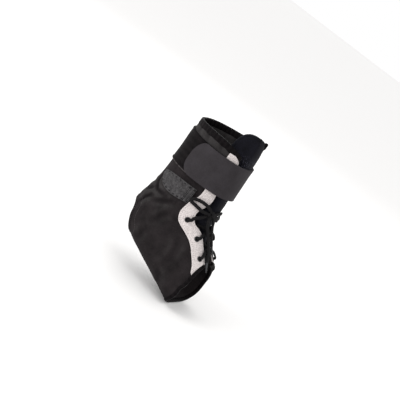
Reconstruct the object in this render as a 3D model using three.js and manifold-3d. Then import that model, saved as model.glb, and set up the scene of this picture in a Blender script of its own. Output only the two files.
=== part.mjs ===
// A lace-up ankle brace for the right foot, shaped as it is when worn, in millimetres.
// +Z runs up the leg, +X points forward and -Y is the outer side of the ankle. The origin is the
// middle of the ankle. The heel is raised, so the sole slopes down towards the toes.
import * as THREE from "three";
import { mergeVertices } from "three/addons/utils/BufferGeometryUtils.js";
import Module from "manifold-3d";

// The hollow that the ankle fills
const LEG_DEPTH = 77;
const LEG_HALF_WIDTH = 33;
const SHAFT_HEIGHT = 142;
const INSTEP_REACH = 43.5;
const INSTEP_FALL = 34;
const HEEL_REACH = 52;
const SOLE_LENGTH = 144;
const SOLE_FALL = 94;
const FOOT_HALF_WIDTH = 36;

// Cloth
const GAP = 0.3;
const WALL = 3;
const FACING_THICKNESS = 1.5;
const BAND_THICKNESS = 1.6;
const WRAP_THICKNESS = 1.8;
const TAB_THICKNESS = 1.8;
const TONGUE_THICKNESS = 5;
const TONGUE_CROWN = -1.6;
const BINDING_WIDTH = 4.6;
const BINDING_OVERHANG = 0.5;

// Lace and eyelets
const LACE_DIAMETER = 3;
const LACE_SIDES = 8;
const LACE_BRIDGE = 2;
const EYELET_WALL = 0.6;
const EYELET_FLANGE = 1.1;
const EYELET_FLANGE_THICKNESS = 0.8;
const TIP_LENGTH = 11;
const TIP_TAPER = 0.65;
const TIP_GAP = 0.5;
const KNOT_LENGTH = 12;
const KNOT_WIDTH = 8;
const KNOT_THICKNESS = 6.4;

// Heights over the skin, layer on layer
const LAYER = WALL + GAP;
const FACING_TOP = LAYER + FACING_THICKNESS;
const BAND_TOP = LAYER + BAND_THICKNESS;
const WRAP_BASE = Math.max(FACING_TOP, BAND_TOP) + GAP;
const LACE_RADIUS = LACE_DIAMETER / 2;
const EYELET_BORE = LACE_RADIUS + 3 * GAP;
const EYELET_RADIUS = EYELET_BORE + EYELET_WALL;
const UNDER = -(GAP + LACE_RADIUS);
const TONGUE_SIDE = UNDER - LACE_RADIUS - GAP;
const OVER = FACING_TOP + 2 * GAP + LACE_RADIUS;
const OVER_EYELET = OVER + EYELET_FLANGE_THICKNESS;
const CROSS_LOW = TONGUE_CROWN + LACE_BRIDGE + LACE_RADIUS;
const CROSS_HIGH = CROSS_LOW + LACE_DIAMETER + GAP;
const FREE = Math.max(CROSS_HIGH, OVER) + LACE_DIAMETER;

// Sections of the hollow. Each is an oval from a front point to a back point of the side view.
// Stations count them, from -1 above the top edge, 1 under the cuff and 5 at the heel cord to 11
// ahead of the toe opening. Shaft rows hold shares of the leg's depth, the shaft's height and the
// leg's half width.
const SHAFT = [
  { front: 0.5, frontUp: 1.31, back: 0.591, backUp: 1.31, half: 1.121, square: 2 },
  { front: 0.468, frontUp: 1, back: 0.578, backUp: 1, half: 1.076, square: 2 },
  { front: 0.422, frontUp: 0.69, back: 0.578, backUp: 0.69, half: 1, square: 2 },
  { front: 0.416, frontUp: 0.437, back: 0.584, backUp: 0.437, half: 0.939, square: 2 },
  { front: 0.429, frontUp: 0.296, back: 0.597, backUp: 0.268, half: 0.924, square: 2 },
  { front: 0.448, frontUp: 0.204, back: 0.636, backUp: 0.07, half: 0.985, square: 2 },
  { front: 0.474, frontUp: 0.141, back: 0.701, backUp: -0.099, half: 1.03, square: 2.1 },
];
// Foot rows hold shares of the instep's reach and fall, the sole's length and fall and the foot's
// half width, from the leg's front and the heel's back.
const FOOT = [
  { front: 0.161, frontDown: -0.324, back: 0, backDown: 0.436, half: 0.917, square: 2.9 },
  { front: 0.253, frontDown: -0.088, back: 0.167, backDown: 0.574, half: 0.903, square: 3.6 },
  { front: 0.368, frontDown: 0.147, back: 0.382, backDown: 0.681, half: 0.917, square: 4.2 },
  { front: 0.529, frontDown: 0.412, back: 0.59, backDown: 0.787, half: 0.944, square: 4.4 },
  { front: 0.747, frontDown: 0.706, back: 0.792, backDown: 0.894, half: 0.972, square: 4.4 },
  { front: 1, frontDown: 1, back: 1, backDown: 1, half: 1, square: 4.4 },
];
const FIRST_STATION = -1;
const LEG_FRONT = 0.422 * LEG_DEPTH;

// Edges of the cloth. Turns are degrees round the leg, 0 in front, on one side of it.
// The top edge climbs towards the front on the inner side: turn, station.
const OUTER_TOP = [[24, 0.84], [40, 0.74], [64, 0.64], [95, 0.61], [151, 0.65], [180, 0.66]];
const INNER_TOP = [[24, 0.17], [40, 0.26], [64, 0.4], [95, 0.52], [151, 0.62], [180, 0.66]];
const OUTER_TOE = [
  [14, 10.3], [31, 10.42], [56, 10.57], [74, 10.56], [97, 10.36], [135, 10.1], [180, 10.06],
];
const INNER_TOE = [
  [14, 10.2], [31, 10.16], [56, 10.14], [74, 10.16], [97, 10.14], [135, 10.08], [180, 10.06],
];
// Front edge of the facings, and so of the opening down the front: station, turn
const OPENING = [
  [0, 30], [1, 30.5], [2.5, 29.9], [3, 29.5], [3.6, 34], [4.1, 40], [4.8, 41], [5.6, 36.5],
  [6.4, 27], [7.15, 21], [8, 18.5], [9, 17], [11, 17],
];
// Back edge of the facings, an S down the side of the ankle: station, turn
const FACING_BACK = [
  [0.8, 55], [2.5, 53.5], [3.04, 55], [3.65, 61.5], [4.36, 64], [5, 64], [5.56, 61], [6.1, 56],
  [6.9, 50.3], [7.55, 46.5], [8.35, 44.8], [9.15, 46], [9.75, 49], [10.3, 57.5], [11, 66],
];
const FACING_TOP_STATION = 0.83;
const FACING_CORNER = 13;
const FACING_CORNER_STEP = 0.07;
const FACING_CORNER_DEPTH = 0.17;
// Eyelets on each side: station, turn
const EYELETS = [[9.5, 29.7], [7.57, 31.7], [5.39, 49.2]];
// Half width of the tongue and where its middle lies: station, half turn, middle
const TONGUE_ROWS = [
  [0.08, 9, -20], [0.12, 20, -20], [0.2, 29, -20], [0.34, 36, -20], [0.62, 42, -18], [1, 46, -13],
  [2, 47, -6], [3, 46, -3], [3.8, 52, 0], [4.6, 56, 0], [5.6, 53, 0], [6.5, 44, 0], [7.5, 36, 0],
  [8.6, 32, 0], [10.05, 30, 0],
];
const TONGUE_END = TONGUE_ROWS[TONGUE_ROWS.length - 1][0];
const TONGUE_TOP_ROWS = 6;
// Degrees inside the opening over which the tongue rises from under the facings
const TONGUE_LIFT = [5, 16];

// The opening that the bare heel pushes through
const HEEL = { station: 5.93, tall: 0.93, wide: 55, square: 2.3 };

// Wide wrap: its black band goes round behind, and its charcoal end comes over the front
const STRAP_TOP = 1.0;
const STRAP_BOTTOM = 2.38;
const BAND_ENDS = [-58, -300];
const WRAP_SEWN = -284;
const WRAP_TIP = -469;
const WRAP_ROUND = 19;
const WRAP_DIP = 2;
const WRAP_DIP_INSET = 3;
const TAB = { front: -64, tip: -139, top: 2.8, bottom: 3.94, tipStation: 3.1, round: 58 };

// Held lace: where it lies beside each eyelet, and its two ways up to the knot
const UNDER_EYELET = { turn: -1.6, height: UNDER + 0.3 };
const OUT_OF_EYELET = { station: -0.03, turn: -1, height: OVER_EYELET - 0.3 };
const BESIDE_EYELET = { station: -0.12, turn: -5 };
const LEAVES_FACING = { share: 0.45, turn: 1 };
const ENTERS_FACING = { share: 0.5, turn: 0.5, height: UNDER };
const REACHES_FACING = { station: -0.05, turn: -5, height: UNDER + 1.4 };
const BAR_RISE = { turn: 6, height: UNDER + 1 };
const OUTER_TO_KNOT = [[5.1, -42, OVER], [4.8, -33, OVER], [4.35, -24.5, OVER + 0.5]];
const INNER_TO_KNOT = [[5.2, 40, OVER], [5.05, 28, OVER - 1], [4.85, 8, OVER - 1], [4.4, -13, OVER + 0.4]];

// Free lace, as chosen points of station, turn and height over the skin
const KNOT_PLACE = [3.95, -20, 9.4];
const LOOP_OUTER = [
  [3.64, -26.4, 9.1], [3.38, -34.5, 8.6], [3.27, -46.5, 7.9], [3.3, -54, 7.3], [3.36, -59.2, 7],
  [3.49, -61.4, 7], [3.63, -60.4, 7], [3.72, -54, 7.1], [3.84, -46.5, 7.6], [3.97, -39, 8.3],
  [4.04, -28.2, 9.3],
];
const LOOP_INNER = [
  [3.86, -12.3, 8.8], [3.76, 0, 8.2], [3.76, 11, 7.2], [3.92, 19, 6.2], [4.15, 21.5, 5.8],
  [4.38, 16.5, 6.4], [4.44, 6, 7.6], [4.28, -5, 8.7], [4.1, -12.3, 9.4],
];
const END_FRONT = [
  [4.4, -21, 9.9], [4.9, -21, FREE], [5.6, -19, FREE], [6.6, -16, FREE], [7.7, -14, FREE],
  [8.8, -13, FREE], [9.5, -14, 8.8], [10, -17, 7.6],
];
const END_INNER = [
  [4.36, -14.8, 10.9], [4.9, -11.5, FREE + 0.4], [5.8, -8.5, FREE], [6.8, -6.5, FREE],
  [7.8, -5, FREE], [8.5, -4, FREE],
];
const TIP_FRONT = [10.62, -21, 6.4];
const TIP_INNER = [9.3, -2.5, FREE];

// Mesh steps
const STATIONS = [
  1, 1.8, 2.6, 3.1, 3.5, 3.9, 4.3, 4.65, 5, 5.35, 5.7, 6.05, 6.4, 6.75, 7.15, 7.6, 8.2, 8.9, 9.4, 9.85,
];
const BODY_STEPS = 24;
const FACING_STEPS = 4;
const TONGUE_STEPS = 8;
const STRAP_STEPS = 22;
const END_STEPS = 6;
const BLUNT_TIP = 0.003;
const TAB_STEPS = 3;
const TAB_END_STEPS = 12;
const LACE_STEPS = 96;
const ROUND_SIDES = 10;
const KNOT_SIDES = 10;
const KNOT_RINGS = 8;
const HEEL_STEPS = 20;
const PLUG_STEPS = 6;
const BINDING_STEPS = 24;
const LOOP_STEPS = 15;
const FREE_STEPS = 13;

const COLOURS = {
  cloth: 0x2f2c2d, binding: 0x1d1b1c, facing: 0xd8d3d3, tongue: 0x1a1a20, band: 0x262324,
  wrap: 0x3a3838, tab: 0x4c4b4c, lace: 0x18161a, eyelet: 0x101011,
};

const wasm = await Module();
wasm.setup();

// Reads a table of [x, y, ...] rows by a smooth curve through them.
function smooth(table, x, column = 1) {
  const last = table.length - 1;
  if (x <= table[0][0]) return table[0][column];
  if (x >= table[last][0]) return table[last][column];
  let i = 1;
  while (x > table[i][0]) i += 1;
  const [a, b] = [table[i - 1], table[i]];
  const before = table[Math.max(i - 2, 0)];
  const after = table[Math.min(i + 1, last)];
  const span = b[0] - a[0];
  const t = (x - a[0]) / span;
  const slopeA = (b[column] - before[column]) / (b[0] - before[0]);
  const slopeB = (after[column] - a[column]) / (after[0] - a[0]);
  const rise = t * t * (3 - 2 * t);
  const bend = (t - 1) * t * span * ((t - 1) * slopeA + t * slopeB);
  return a[column] + (b[column] - a[column]) * rise + bend;
}

const SECTIONS = [
  ...SHAFT.map((s, i) => [
    i, s.front * LEG_DEPTH, s.frontUp * SHAFT_HEIGHT, -s.back * LEG_DEPTH, s.backUp * SHAFT_HEIGHT,
    s.half * LEG_HALF_WIDTH, s.square,
  ]),
  ...FOOT.map((s, i) => [
    i + SHAFT.length, LEG_FRONT + s.front * INSTEP_REACH, -s.frontDown * INSTEP_FALL,
    s.back * SOLE_LENGTH - HEEL_REACH, -s.backDown * SOLE_FALL, s.half * FOOT_HALF_WIDTH, s.square,
  ]),
];

// A point of the skin surface, with turn in degrees.
function skin(station, turn) {
  const row = station - FIRST_STATION;
  const [fx, fz, bx, bz, half, square] = [1, 2, 3, 4, 5, 6].map((c) => smooth(SECTIONS, row, c));
  const angle = THREE.MathUtils.degToRad(turn);
  const power = Math.cos(angle) < 0 ? 2 / square : 1;
  const ahead = Math.sign(Math.cos(angle)) * Math.abs(Math.cos(angle)) ** power;
  const aside = Math.sign(Math.sin(angle)) * Math.abs(Math.sin(angle)) ** power;
  return new THREE.Vector3(
    (fx + bx) / 2 + ((fx - bx) / 2) * ahead,
    half * aside,
    (fz + bz) / 2 + ((fz - bz) / 2) * ahead,
  );
}

function outward(station, turn) {
  const step = 0.02;
  const down = skin(station + step, turn).sub(skin(station - step, turn));
  const round = skin(station, turn + 1).sub(skin(station, turn - 1));
  return round.cross(down).normalize().negate();
}

function over(station, turn, height) {
  return skin(station, turn).addScaledVector(outward(station, turn), height);
}

// Stations per millimetre at a place, to set widths in millimetres.
function stationsPerMm(station, turn) {
  const step = 0.05;
  return (2 * step) / skin(station + step, turn).distanceTo(skin(station - step, turn));
}

const fold = (turn) => {
  const wrapped = ((turn % 360) + 360) % 360;
  return wrapped > 180 ? wrapped - 360 : wrapped;
};

// The cloth's top and toe edges at any turn.
function topEdge(turn) {
  const side = fold(turn);
  return smooth(side < 0 ? OUTER_TOP : INNER_TOP, Math.abs(side));
}

function toeEdge(turn) {
  const side = fold(turn);
  return smooth(side < 0 ? OUTER_TOE : INNER_TOE, Math.abs(side));
}

function topBindingLine(turn) {
  const edge = topEdge(turn);
  return edge + (BINDING_WIDTH / 2) * stationsPerMm(edge, turn);
}

function toeBindingLine(turn) {
  const edge = toeEdge(turn);
  return edge - (BINDING_WIDTH / 2) * stationsPerMm(edge, turn);
}

// Turns a grid of points on two layers into a closed sheet.
function sheet(rows, columns, place, low, high) {
  const positions = [];
  const index = [];
  const heightOf = (height, station, turn) => (typeof height === "function" ? height(station, turn) : height);
  for (const height of [low, high]) {
    for (let i = 0; i <= rows; i += 1) {
      for (let j = 0; j <= columns; j += 1) {
        const [station, turn] = place(i / rows, j / columns, i, j);
        positions.push(...over(station, turn, heightOf(height, station, turn)).toArray());
      }
    }
  }
  const layer = (rows + 1) * (columns + 1);
  const at = (i, j, upper) => i * (columns + 1) + j + (upper ? layer : 0);
  const quad = (a, b, c, d) => index.push(a, b, c, a, c, d);
  for (let i = 0; i < rows; i += 1) {
    for (let j = 0; j < columns; j += 1) {
      quad(at(i, j, true), at(i + 1, j, true), at(i + 1, j + 1, true), at(i, j + 1, true));
      quad(at(i, j), at(i, j + 1), at(i + 1, j + 1), at(i + 1, j));
    }
  }
  for (let i = 0; i < rows; i += 1) {
    quad(at(i, 0), at(i + 1, 0), at(i + 1, 0, true), at(i, 0, true));
    quad(at(i + 1, columns), at(i, columns), at(i, columns, true), at(i + 1, columns, true));
  }
  for (let j = 0; j < columns; j += 1) {
    quad(at(0, j + 1), at(0, j), at(0, j, true), at(0, j + 1, true));
    quad(at(rows, j), at(rows, j + 1), at(rows, j + 1, true), at(rows, j, true));
  }
  return facingOut(positions, index);
}

// Builds an indexed geometry and turns it round where its volume comes out negative.
function facingOut(positions, index) {
  let volume = 0;
  const corner = (i) => new THREE.Vector3().fromArray(positions, index[i] * 3);
  for (let i = 0; i < index.length; i += 3) {
    volume += corner(i).dot(corner(i + 1).cross(corner(i + 2)));
  }
  if (volume < 0) index.reverse();
  const geometry = new THREE.BufferGeometry();
  geometry.setAttribute("position", new THREE.Float32BufferAttribute(positions, 3));
  geometry.setIndex(index);
  return geometry;
}

// A folded tape along a line on the skin, with its edges rounded.
function tape(line, closed, width, low, high) {
  const count = line.length;
  const [side, ease] = [width / 2, Math.min(width, high - low) * 0.25];
  const section = [
    [-side + ease, low], [side - ease, low], [side, low + ease], [side, high - ease],
    [side - ease, high], [-side + ease, high], [-side, high - ease], [-side, low + ease],
  ];
  const positions = [];
  const points = line.map(([station, turn]) => skin(station, turn));
  line.forEach(([station, turn], i) => {
    const before = closed ? points[(i + count - 1) % count] : points[Math.max(i - 1, 0)];
    const after = closed ? points[(i + 1) % count] : points[Math.min(i + 1, count - 1)];
    const along = after.clone().sub(before).normalize();
    const up = outward(station, turn);
    const across = along.cross(up).normalize();
    section.forEach(([sideways, height]) => {
      const point = points[i].clone().addScaledVector(across, sideways).addScaledVector(up, height);
      positions.push(...point.toArray());
    });
  });
  const index = [];
  const n = section.length;
  for (let i = 0; i < (closed ? count : count - 1); i += 1) {
    for (let j = 0; j < n; j += 1) {
      const [a, b] = [i * n + j, i * n + ((j + 1) % n)];
      const [c, d] = [((i + 1) % count) * n + ((j + 1) % n), ((i + 1) % count) * n + j];
      index.push(a, b, c, a, c, d);
    }
  }
  if (!closed) {
    for (let j = 1; j < n - 1; j += 1) {
      index.push(0, j + 1, j);
      const end = (count - 1) * n;
      index.push(end, end + j, end + j + 1);
    }
  }
  return facingOut(positions, index);
}

function toSolid(geometry) {
  const plain = geometry.clone();
  plain.deleteAttribute("normal");
  plain.deleteAttribute("uv");
  const merged = mergeVertices(plain, 1e-4);
  return new wasm.Manifold(
    new wasm.Mesh({
      numProp: 3,
      vertProperties: new Float32Array(merged.attributes.position.array),
      triVerts: new Uint32Array(merged.index.array),
    }),
  );
}

function toGeometry(solid) {
  const mesh = solid.getMesh();
  const geometry = new THREE.BufferGeometry();
  geometry.setAttribute("position", new THREE.BufferAttribute(new Float32Array(mesh.vertProperties), 3));
  geometry.setIndex(new THREE.BufferAttribute(new Uint32Array(mesh.triVerts), 1));
  geometry.computeVertexNormals();
  return geometry;
}

// Cuts, and keeps the main piece where a cutter trims slivers off an edge.
function cut(geometry, ...cutters) {
  const left = cutters.reduce((solid, cutter) => solid.subtract(toSolid(cutter)), toSolid(geometry));
  const pieces = left.decompose().sort((a, b) => b.volume() - a.volume());
  return toGeometry(pieces[0]);
}

const series = (count, make) => Array.from({ length: count }, (_, i) => make(i));
const openingAt = (station) => smooth(OPENING, station);
const smoothStep = THREE.MathUtils.smoothstep;

// Bindings: a tape over the raw edge, wider and thicker by a clearance where it cuts its seat.
function binding(line, closed, clear) {
  const [low, high] = [-BINDING_OVERHANG - clear, WALL + BINDING_OVERHANG + clear];
  return tape(line, closed, BINDING_WIDTH + 2 * clear, low, high);
}

function edgeLine(start, stationAt) {
  return series(BINDING_STEPS + 1, (i) => {
    const turn = -start - ((360 - 2 * start) * i) / BINDING_STEPS;
    return [stationAt(turn), turn];
  });
}

const topTape = (clear) => binding(edgeLine(openingAt(topEdge(0)), topBindingLine), false, clear);
const toeTape = (clear) => binding(edgeLine(openingAt(toeEdge(0)), toeBindingLine), false, clear);

function heelLine(count) {
  return series(count, (i) => {
    const angle = (2 * Math.PI * i) / count;
    const power = 2 / HEEL.square;
    const tall = Math.sign(Math.cos(angle)) * Math.abs(Math.cos(angle)) ** power;
    const wide = Math.sign(Math.sin(angle)) * Math.abs(Math.sin(angle)) ** power;
    return [HEEL.station - HEEL.tall * tall, 180 + HEEL.wide * wide];
  });
}

const heelTape = (clear) => binding(heelLine(HEEL_STEPS), true, clear);

// The plug that opens the heel, up to the middle of its binding.
function heelPlug() {
  const line = heelLine(HEEL_STEPS);
  const half = HEEL_STEPS / 2;
  const place = (u, v, i) => {
    const [left, right] = [line[i + 1], line[HEEL_STEPS - i - 1]];
    return [left[0] + (right[0] - left[0]) * v, left[1] + (right[1] - left[1]) * v];
  };
  return sheet(half - 2, PLUG_STEPS, place, -2 * WALL, 3 * WALL);
}

// A round tool standing on the skin at an eyelet.
function standing(geometry, station, turn) {
  const turned = new THREE.Quaternion().setFromUnitVectors(
    new THREE.Vector3(0, 1, 0),
    outward(station, turn),
  );
  const base = skin(station, turn);
  return geometry.applyQuaternion(turned).translate(base.x, base.y, base.z);
}

function eyeletHole(station, turn) {
  const radius = EYELET_RADIUS + GAP;
  return standing(new THREE.CylinderGeometry(radius, radius, 8 * WALL, ROUND_SIDES), station, turn);
}

const EYELET_PLACES = EYELETS.flatMap(([station, turn]) => [[station, -turn], [station, turn]]);

function bodyGeometry() {
  const rows = STATIONS.length + 1;
  const place = (u, v, i) => {
    const station = i === 0 ? topEdge(0) : i === rows ? toeEdge(0) : STATIONS[i - 1];
    const start = openingAt(station);
    const turn = -start - (360 - 2 * start) * v;
    if (i === 0) return [topBindingLine(turn), turn];
    if (i === rows) return [toeBindingLine(turn), turn];
    return [station, turn];
  };
  const cloth = sheet(rows, BODY_STEPS, place, 0, WALL);
  const holes = EYELET_PLACES.map(([station, turn]) => eyeletHole(station, turn));
  return cut(cloth, topTape(GAP), toeTape(GAP), heelPlug(), heelTape(GAP), ...holes);
}

// A facing: the pale panel that carries the eyelets, beside the opening.
function facingGeometry(side) {
  const stations = [
    FACING_TOP_STATION, FACING_TOP_STATION + FACING_CORNER_STEP, ...STATIONS, toeEdge(0),
  ];
  const rows = stations.length - 1;
  const place = (u, v, i) => {
    const station = stations[i];
    const above = Math.max(0, 1 - (station - FACING_TOP_STATION) / FACING_CORNER_DEPTH);
    const front = openingAt(station) + FACING_CORNER * above ** 2;
    const back = smooth(FACING_BACK, station);
    const turn = side * (front + (back - front) * v);
    return [i === rows ? toeBindingLine(turn) : station, turn];
  };
  const panel = sheet(rows, FACING_STEPS, place, LAYER, FACING_TOP);
  const holes = EYELETS.map(([station, turn]) => eyeletHole(station, side * turn));
  return cut(panel, toeTape(GAP), ...holes);
}

function tongueGeometry() {
  const top = TONGUE_ROWS.slice(0, TONGUE_TOP_ROWS).map((row) => row[0]);
  const rows = [...top, ...STATIONS.slice(1), TONGUE_END];
  const place = (u, v, i) => {
    const half = smooth(TONGUE_ROWS, rows[i], 1);
    return [rows[i], smooth(TONGUE_ROWS, rows[i], 2) + half * (2 * v - 1)];
  };
  const crown = (station, turn) => {
    const inside = openingAt(station) - Math.abs(turn);
    return TONGUE_SIDE + (TONGUE_CROWN - TONGUE_SIDE) * smoothStep(inside, ...TONGUE_LIFT);
  };
  return sheet(rows.length - 1, TONGUE_STEPS, place, (s, t) => crown(s, t) - TONGUE_THICKNESS, crown);
}

function bandGeometry() {
  const [start, end] = BAND_ENDS;
  const place = (u, v) => [STRAP_TOP + (STRAP_BOTTOM - STRAP_TOP) * v, start + (end - start) * u];
  return sheet(STRAP_STEPS, 2, place, LAYER, BAND_TOP);
}

// A strip with one end rounded to a tip: the share of its half width left at a turn.
function roundedEnd(turn, tip, round) {
  const inside = Math.min(Math.max((tip - turn) / -round, 0), 1);
  return Math.sqrt(Math.max(1 - (1 - inside) ** 2, BLUNT_TIP));
}

function wrapGeometry() {
  const place = (u, v, i) => {
    const end = WRAP_TIP + WRAP_ROUND;
    const turn =
      i <= STRAP_STEPS
        ? WRAP_SEWN + ((end - WRAP_SEWN) * i) / STRAP_STEPS
        : WRAP_TIP + WRAP_ROUND * Math.cos(((i - STRAP_STEPS) / END_STEPS) * (Math.PI / 2));
    const share = roundedEnd(turn, WRAP_TIP, WRAP_ROUND);
    const middle = (STRAP_TOP + STRAP_BOTTOM) / 2;
    return [middle + (STRAP_BOTTOM - STRAP_TOP) * (v - 0.5) * share, turn];
  };
  const base = (station, turn) => {
    const share = Math.min(Math.abs(fold(turn)) / (openingAt(station) - WRAP_DIP_INSET), 1);
    return WRAP_BASE - WRAP_DIP * (1 - share ** 2);
  };
  return sheet(STRAP_STEPS + END_STEPS, 3, place, base, (s, t) => base(s, t) + WRAP_THICKNESS);
}

function tabGeometry() {
  const place = (u, v, i) => {
    const end = TAB.tip + TAB.round;
    const turn =
      i <= TAB_STEPS
        ? TAB.front + ((end - TAB.front) * i) / TAB_STEPS
        : TAB.tip + TAB.round * Math.cos(((i - TAB_STEPS) / TAB_END_STEPS) * (Math.PI / 2));
    const share = roundedEnd(turn, TAB.tip, TAB.round);
    const middle = (TAB.top + TAB.bottom) / 2;
    const centre = middle + (TAB.tipStation - middle) * (1 - share);
    return [centre + (TAB.bottom - TAB.top) * (v - 0.5) * share, turn];
  };
  return sheet(TAB_STEPS + TAB_END_STEPS, 3, place, LAYER, LAYER + TAB_THICKNESS);
}

function eyeletGeometry(station, turn) {
  const base = GAP;
  const flange = FACING_TOP + GAP;
  const top = flange + EYELET_FLANGE_THICKNESS;
  const profile = [
    [EYELET_BORE, base], [EYELET_RADIUS, base], [EYELET_RADIUS, flange],
    [EYELET_RADIUS + EYELET_FLANGE, flange], [EYELET_RADIUS + EYELET_FLANGE, top], [EYELET_BORE, top],
    [EYELET_BORE, base],
  ].map(([x, y]) => new THREE.Vector2(x, y));
  return standing(new THREE.LatheGeometry(profile, ROUND_SIDES), station, turn);
}

// A round cord along chosen points.
function cord(points, diameter, steps) {
  const curve = new THREE.CatmullRomCurve3(points, false, "centripetal");
  const ring = new THREE.Shape(
    series(LACE_SIDES, (i) => {
      const angle = (2 * Math.PI * i) / LACE_SIDES;
      return new THREE.Vector2(Math.cos(angle), Math.sin(angle)).multiplyScalar(diameter / 2);
    }),
  );
  return new THREE.ExtrudeGeometry(ring, { steps, extrudePath: curve, bevelEnabled: false });
}

const onSkin = (rows) => rows.map(([station, turn, height]) => over(station, turn, height));

// One side of the lace from the hidden middle bar up to the knot. It comes out through an eyelet,
// crosses over the tongue, goes under the other facing and out through the next eyelet.
function laceSide(side, startsHigh) {
  const rows = [];
  let facing = side;
  let high = startsHigh;
  EYELETS.forEach(([station, turn], i) => {
    const edge = openingAt(station);
    const next = EYELETS[i + 1];
    rows.push([station, facing * (turn + edge) * 0.5, UNDER]);
    rows.push([station, facing * (turn + UNDER_EYELET.turn), UNDER_EYELET.height]);
    rows.push([station, facing * turn, GAP]);
    rows.push([station, facing * turn, FACING_TOP + GAP]);
    const out = OUT_OF_EYELET;
    rows.push([station + out.station, facing * (turn + out.turn), out.height]);
    const beside = BESIDE_EYELET;
    rows.push([station + beside.station, facing * (turn + beside.turn), OVER_EYELET]);
    if (next) {
      const middle = (station + next[0]) / 2;
      const leave = station + (middle - station) * LEAVES_FACING.share;
      const enter = middle + (next[0] - middle) * ENTERS_FACING.share;
      const enterTurn = openingAt(enter);
      rows.push([leave, facing * (openingAt(leave) + LEAVES_FACING.turn), OVER]);
      rows.push([middle, 0, high ? CROSS_HIGH : CROSS_LOW]);
      const near = REACHES_FACING;
      rows.push([enter + near.station, -facing * (enterTurn + near.turn), near.height]);
      rows.push([enter, -facing * (enterTurn + ENTERS_FACING.turn), ENTERS_FACING.height]);
      facing = -facing;
      high = !high;
    }
  });
  return { rows, facing };
}

function laceGeometry() {
  const outer = laceSide(-1, true);
  const inner = laceSide(1, false);
  const bottom = EYELETS[0][0];
  const edge = openingAt(bottom);
  const rise = edge - BAR_RISE.turn;
  const bar = [
    [bottom, -edge, UNDER], [bottom, -rise, BAR_RISE.height], [bottom, 0, CROSS_LOW],
    [bottom, rise, BAR_RISE.height], [bottom, edge, UNDER],
  ];
  const toKnot = (side) => (side < 0 ? OUTER_TO_KNOT : INNER_TO_KNOT);
  const rows = [
    ...toKnot(outer.facing).toReversed(),
    ...outer.rows.toReversed(),
    ...bar,
    ...inner.rows,
    ...toKnot(inner.facing),
  ];
  return cord(onSkin(rows), LACE_DIAMETER, LACE_STEPS);
}

function knotGeometry() {
  const [station, turn, height] = KNOT_PLACE;
  const ball = new THREE.SphereGeometry(0.5, KNOT_SIDES, KNOT_RINGS);
  const knot = ball.scale(KNOT_LENGTH, KNOT_THICKNESS, KNOT_WIDTH);
  const up = outward(station, turn);
  const along = skin(station, turn + 1).sub(skin(station, turn - 1)).normalize();
  const basis = new THREE.Matrix4().makeBasis(along, up, along.clone().cross(up));
  return knot.applyMatrix4(basis.setPosition(over(station, turn, height)));
}

// The stiff tip of a lace end: a short taper from its last point to its own.
function tipGeometry(from, to) {
  const [start, end] = onSkin([from, to]);
  const way = end.sub(start).normalize();
  const tip = new THREE.CylinderGeometry(LACE_RADIUS * TIP_TAPER, LACE_RADIUS, TIP_LENGTH, LACE_SIDES);
  tip.translate(0, TIP_LENGTH / 2 + TIP_GAP, 0);
  tip.applyQuaternion(new THREE.Quaternion().setFromUnitVectors(new THREE.Vector3(0, 1, 0), way));
  return tip.translate(start.x, start.y, start.z);
}

const group = new THREE.Group();

function add(name, geometry, colour, roughness = 0.9, metalness = 0) {
  const material = new THREE.MeshStandardMaterial({ color: colour, roughness, metalness });
  const mesh = new THREE.Mesh(geometry, material);
  mesh.name = name;
  group.add(mesh);
}

add("boot_body", bodyGeometry(), COLOURS.cloth);
add("top_binding", topTape(0), COLOURS.binding);
add("toe_binding", toeTape(0), COLOURS.binding);
add("heel_binding", heelTape(0), COLOURS.binding);
add("outer_facing", facingGeometry(-1), COLOURS.facing);
add("inner_facing", facingGeometry(1), COLOURS.facing);
add("tongue", tongueGeometry(), COLOURS.tongue);
add("strap_band", bandGeometry(), COLOURS.band);
add("wrap_strap", wrapGeometry(), COLOURS.wrap);
add("hook_tab", tabGeometry(), COLOURS.tab);
EYELET_PLACES.forEach(([station, turn], i) => {
  const side = turn < 0 ? "outer" : "inner";
  add(`eyelet_${side}_${Math.floor(i / 2) + 1}`, eyeletGeometry(station, turn), COLOURS.eyelet, 0.4, 0.6);
});
add("lace", laceGeometry(), COLOURS.lace);
add("lace_knot", knotGeometry(), COLOURS.lace);
add("lace_loop_outer", cord(onSkin(LOOP_OUTER), LACE_DIAMETER, LOOP_STEPS), COLOURS.lace);
add("lace_loop_inner", cord(onSkin(LOOP_INNER), LACE_DIAMETER, LOOP_STEPS), COLOURS.lace);
add("lace_end_front", cord(onSkin(END_FRONT), LACE_DIAMETER, FREE_STEPS), COLOURS.lace);
add("lace_end_inner", cord(onSkin(END_INNER), LACE_DIAMETER, FREE_STEPS), COLOURS.lace);
add("lace_tip_front", tipGeometry(END_FRONT[END_FRONT.length - 1], TIP_FRONT), COLOURS.eyelet, 0.4);
add("lace_tip_inner", tipGeometry(END_INNER[END_INNER.length - 1], TIP_INNER), COLOURS.eyelet, 0.4);

export default group;
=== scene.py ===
"""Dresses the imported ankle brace: cloth, bindings, padded tongue, straps, eyelets and lace.

Sizes are in millimetres until a mesh is made, and turns are in degrees round the leg, 0 in front
and negative on the outer side. Stations count the brace's sections from the top edge to the toes.
"""
import math

import bpy
import numpy as np
from mathutils import Matrix, Vector


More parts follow.
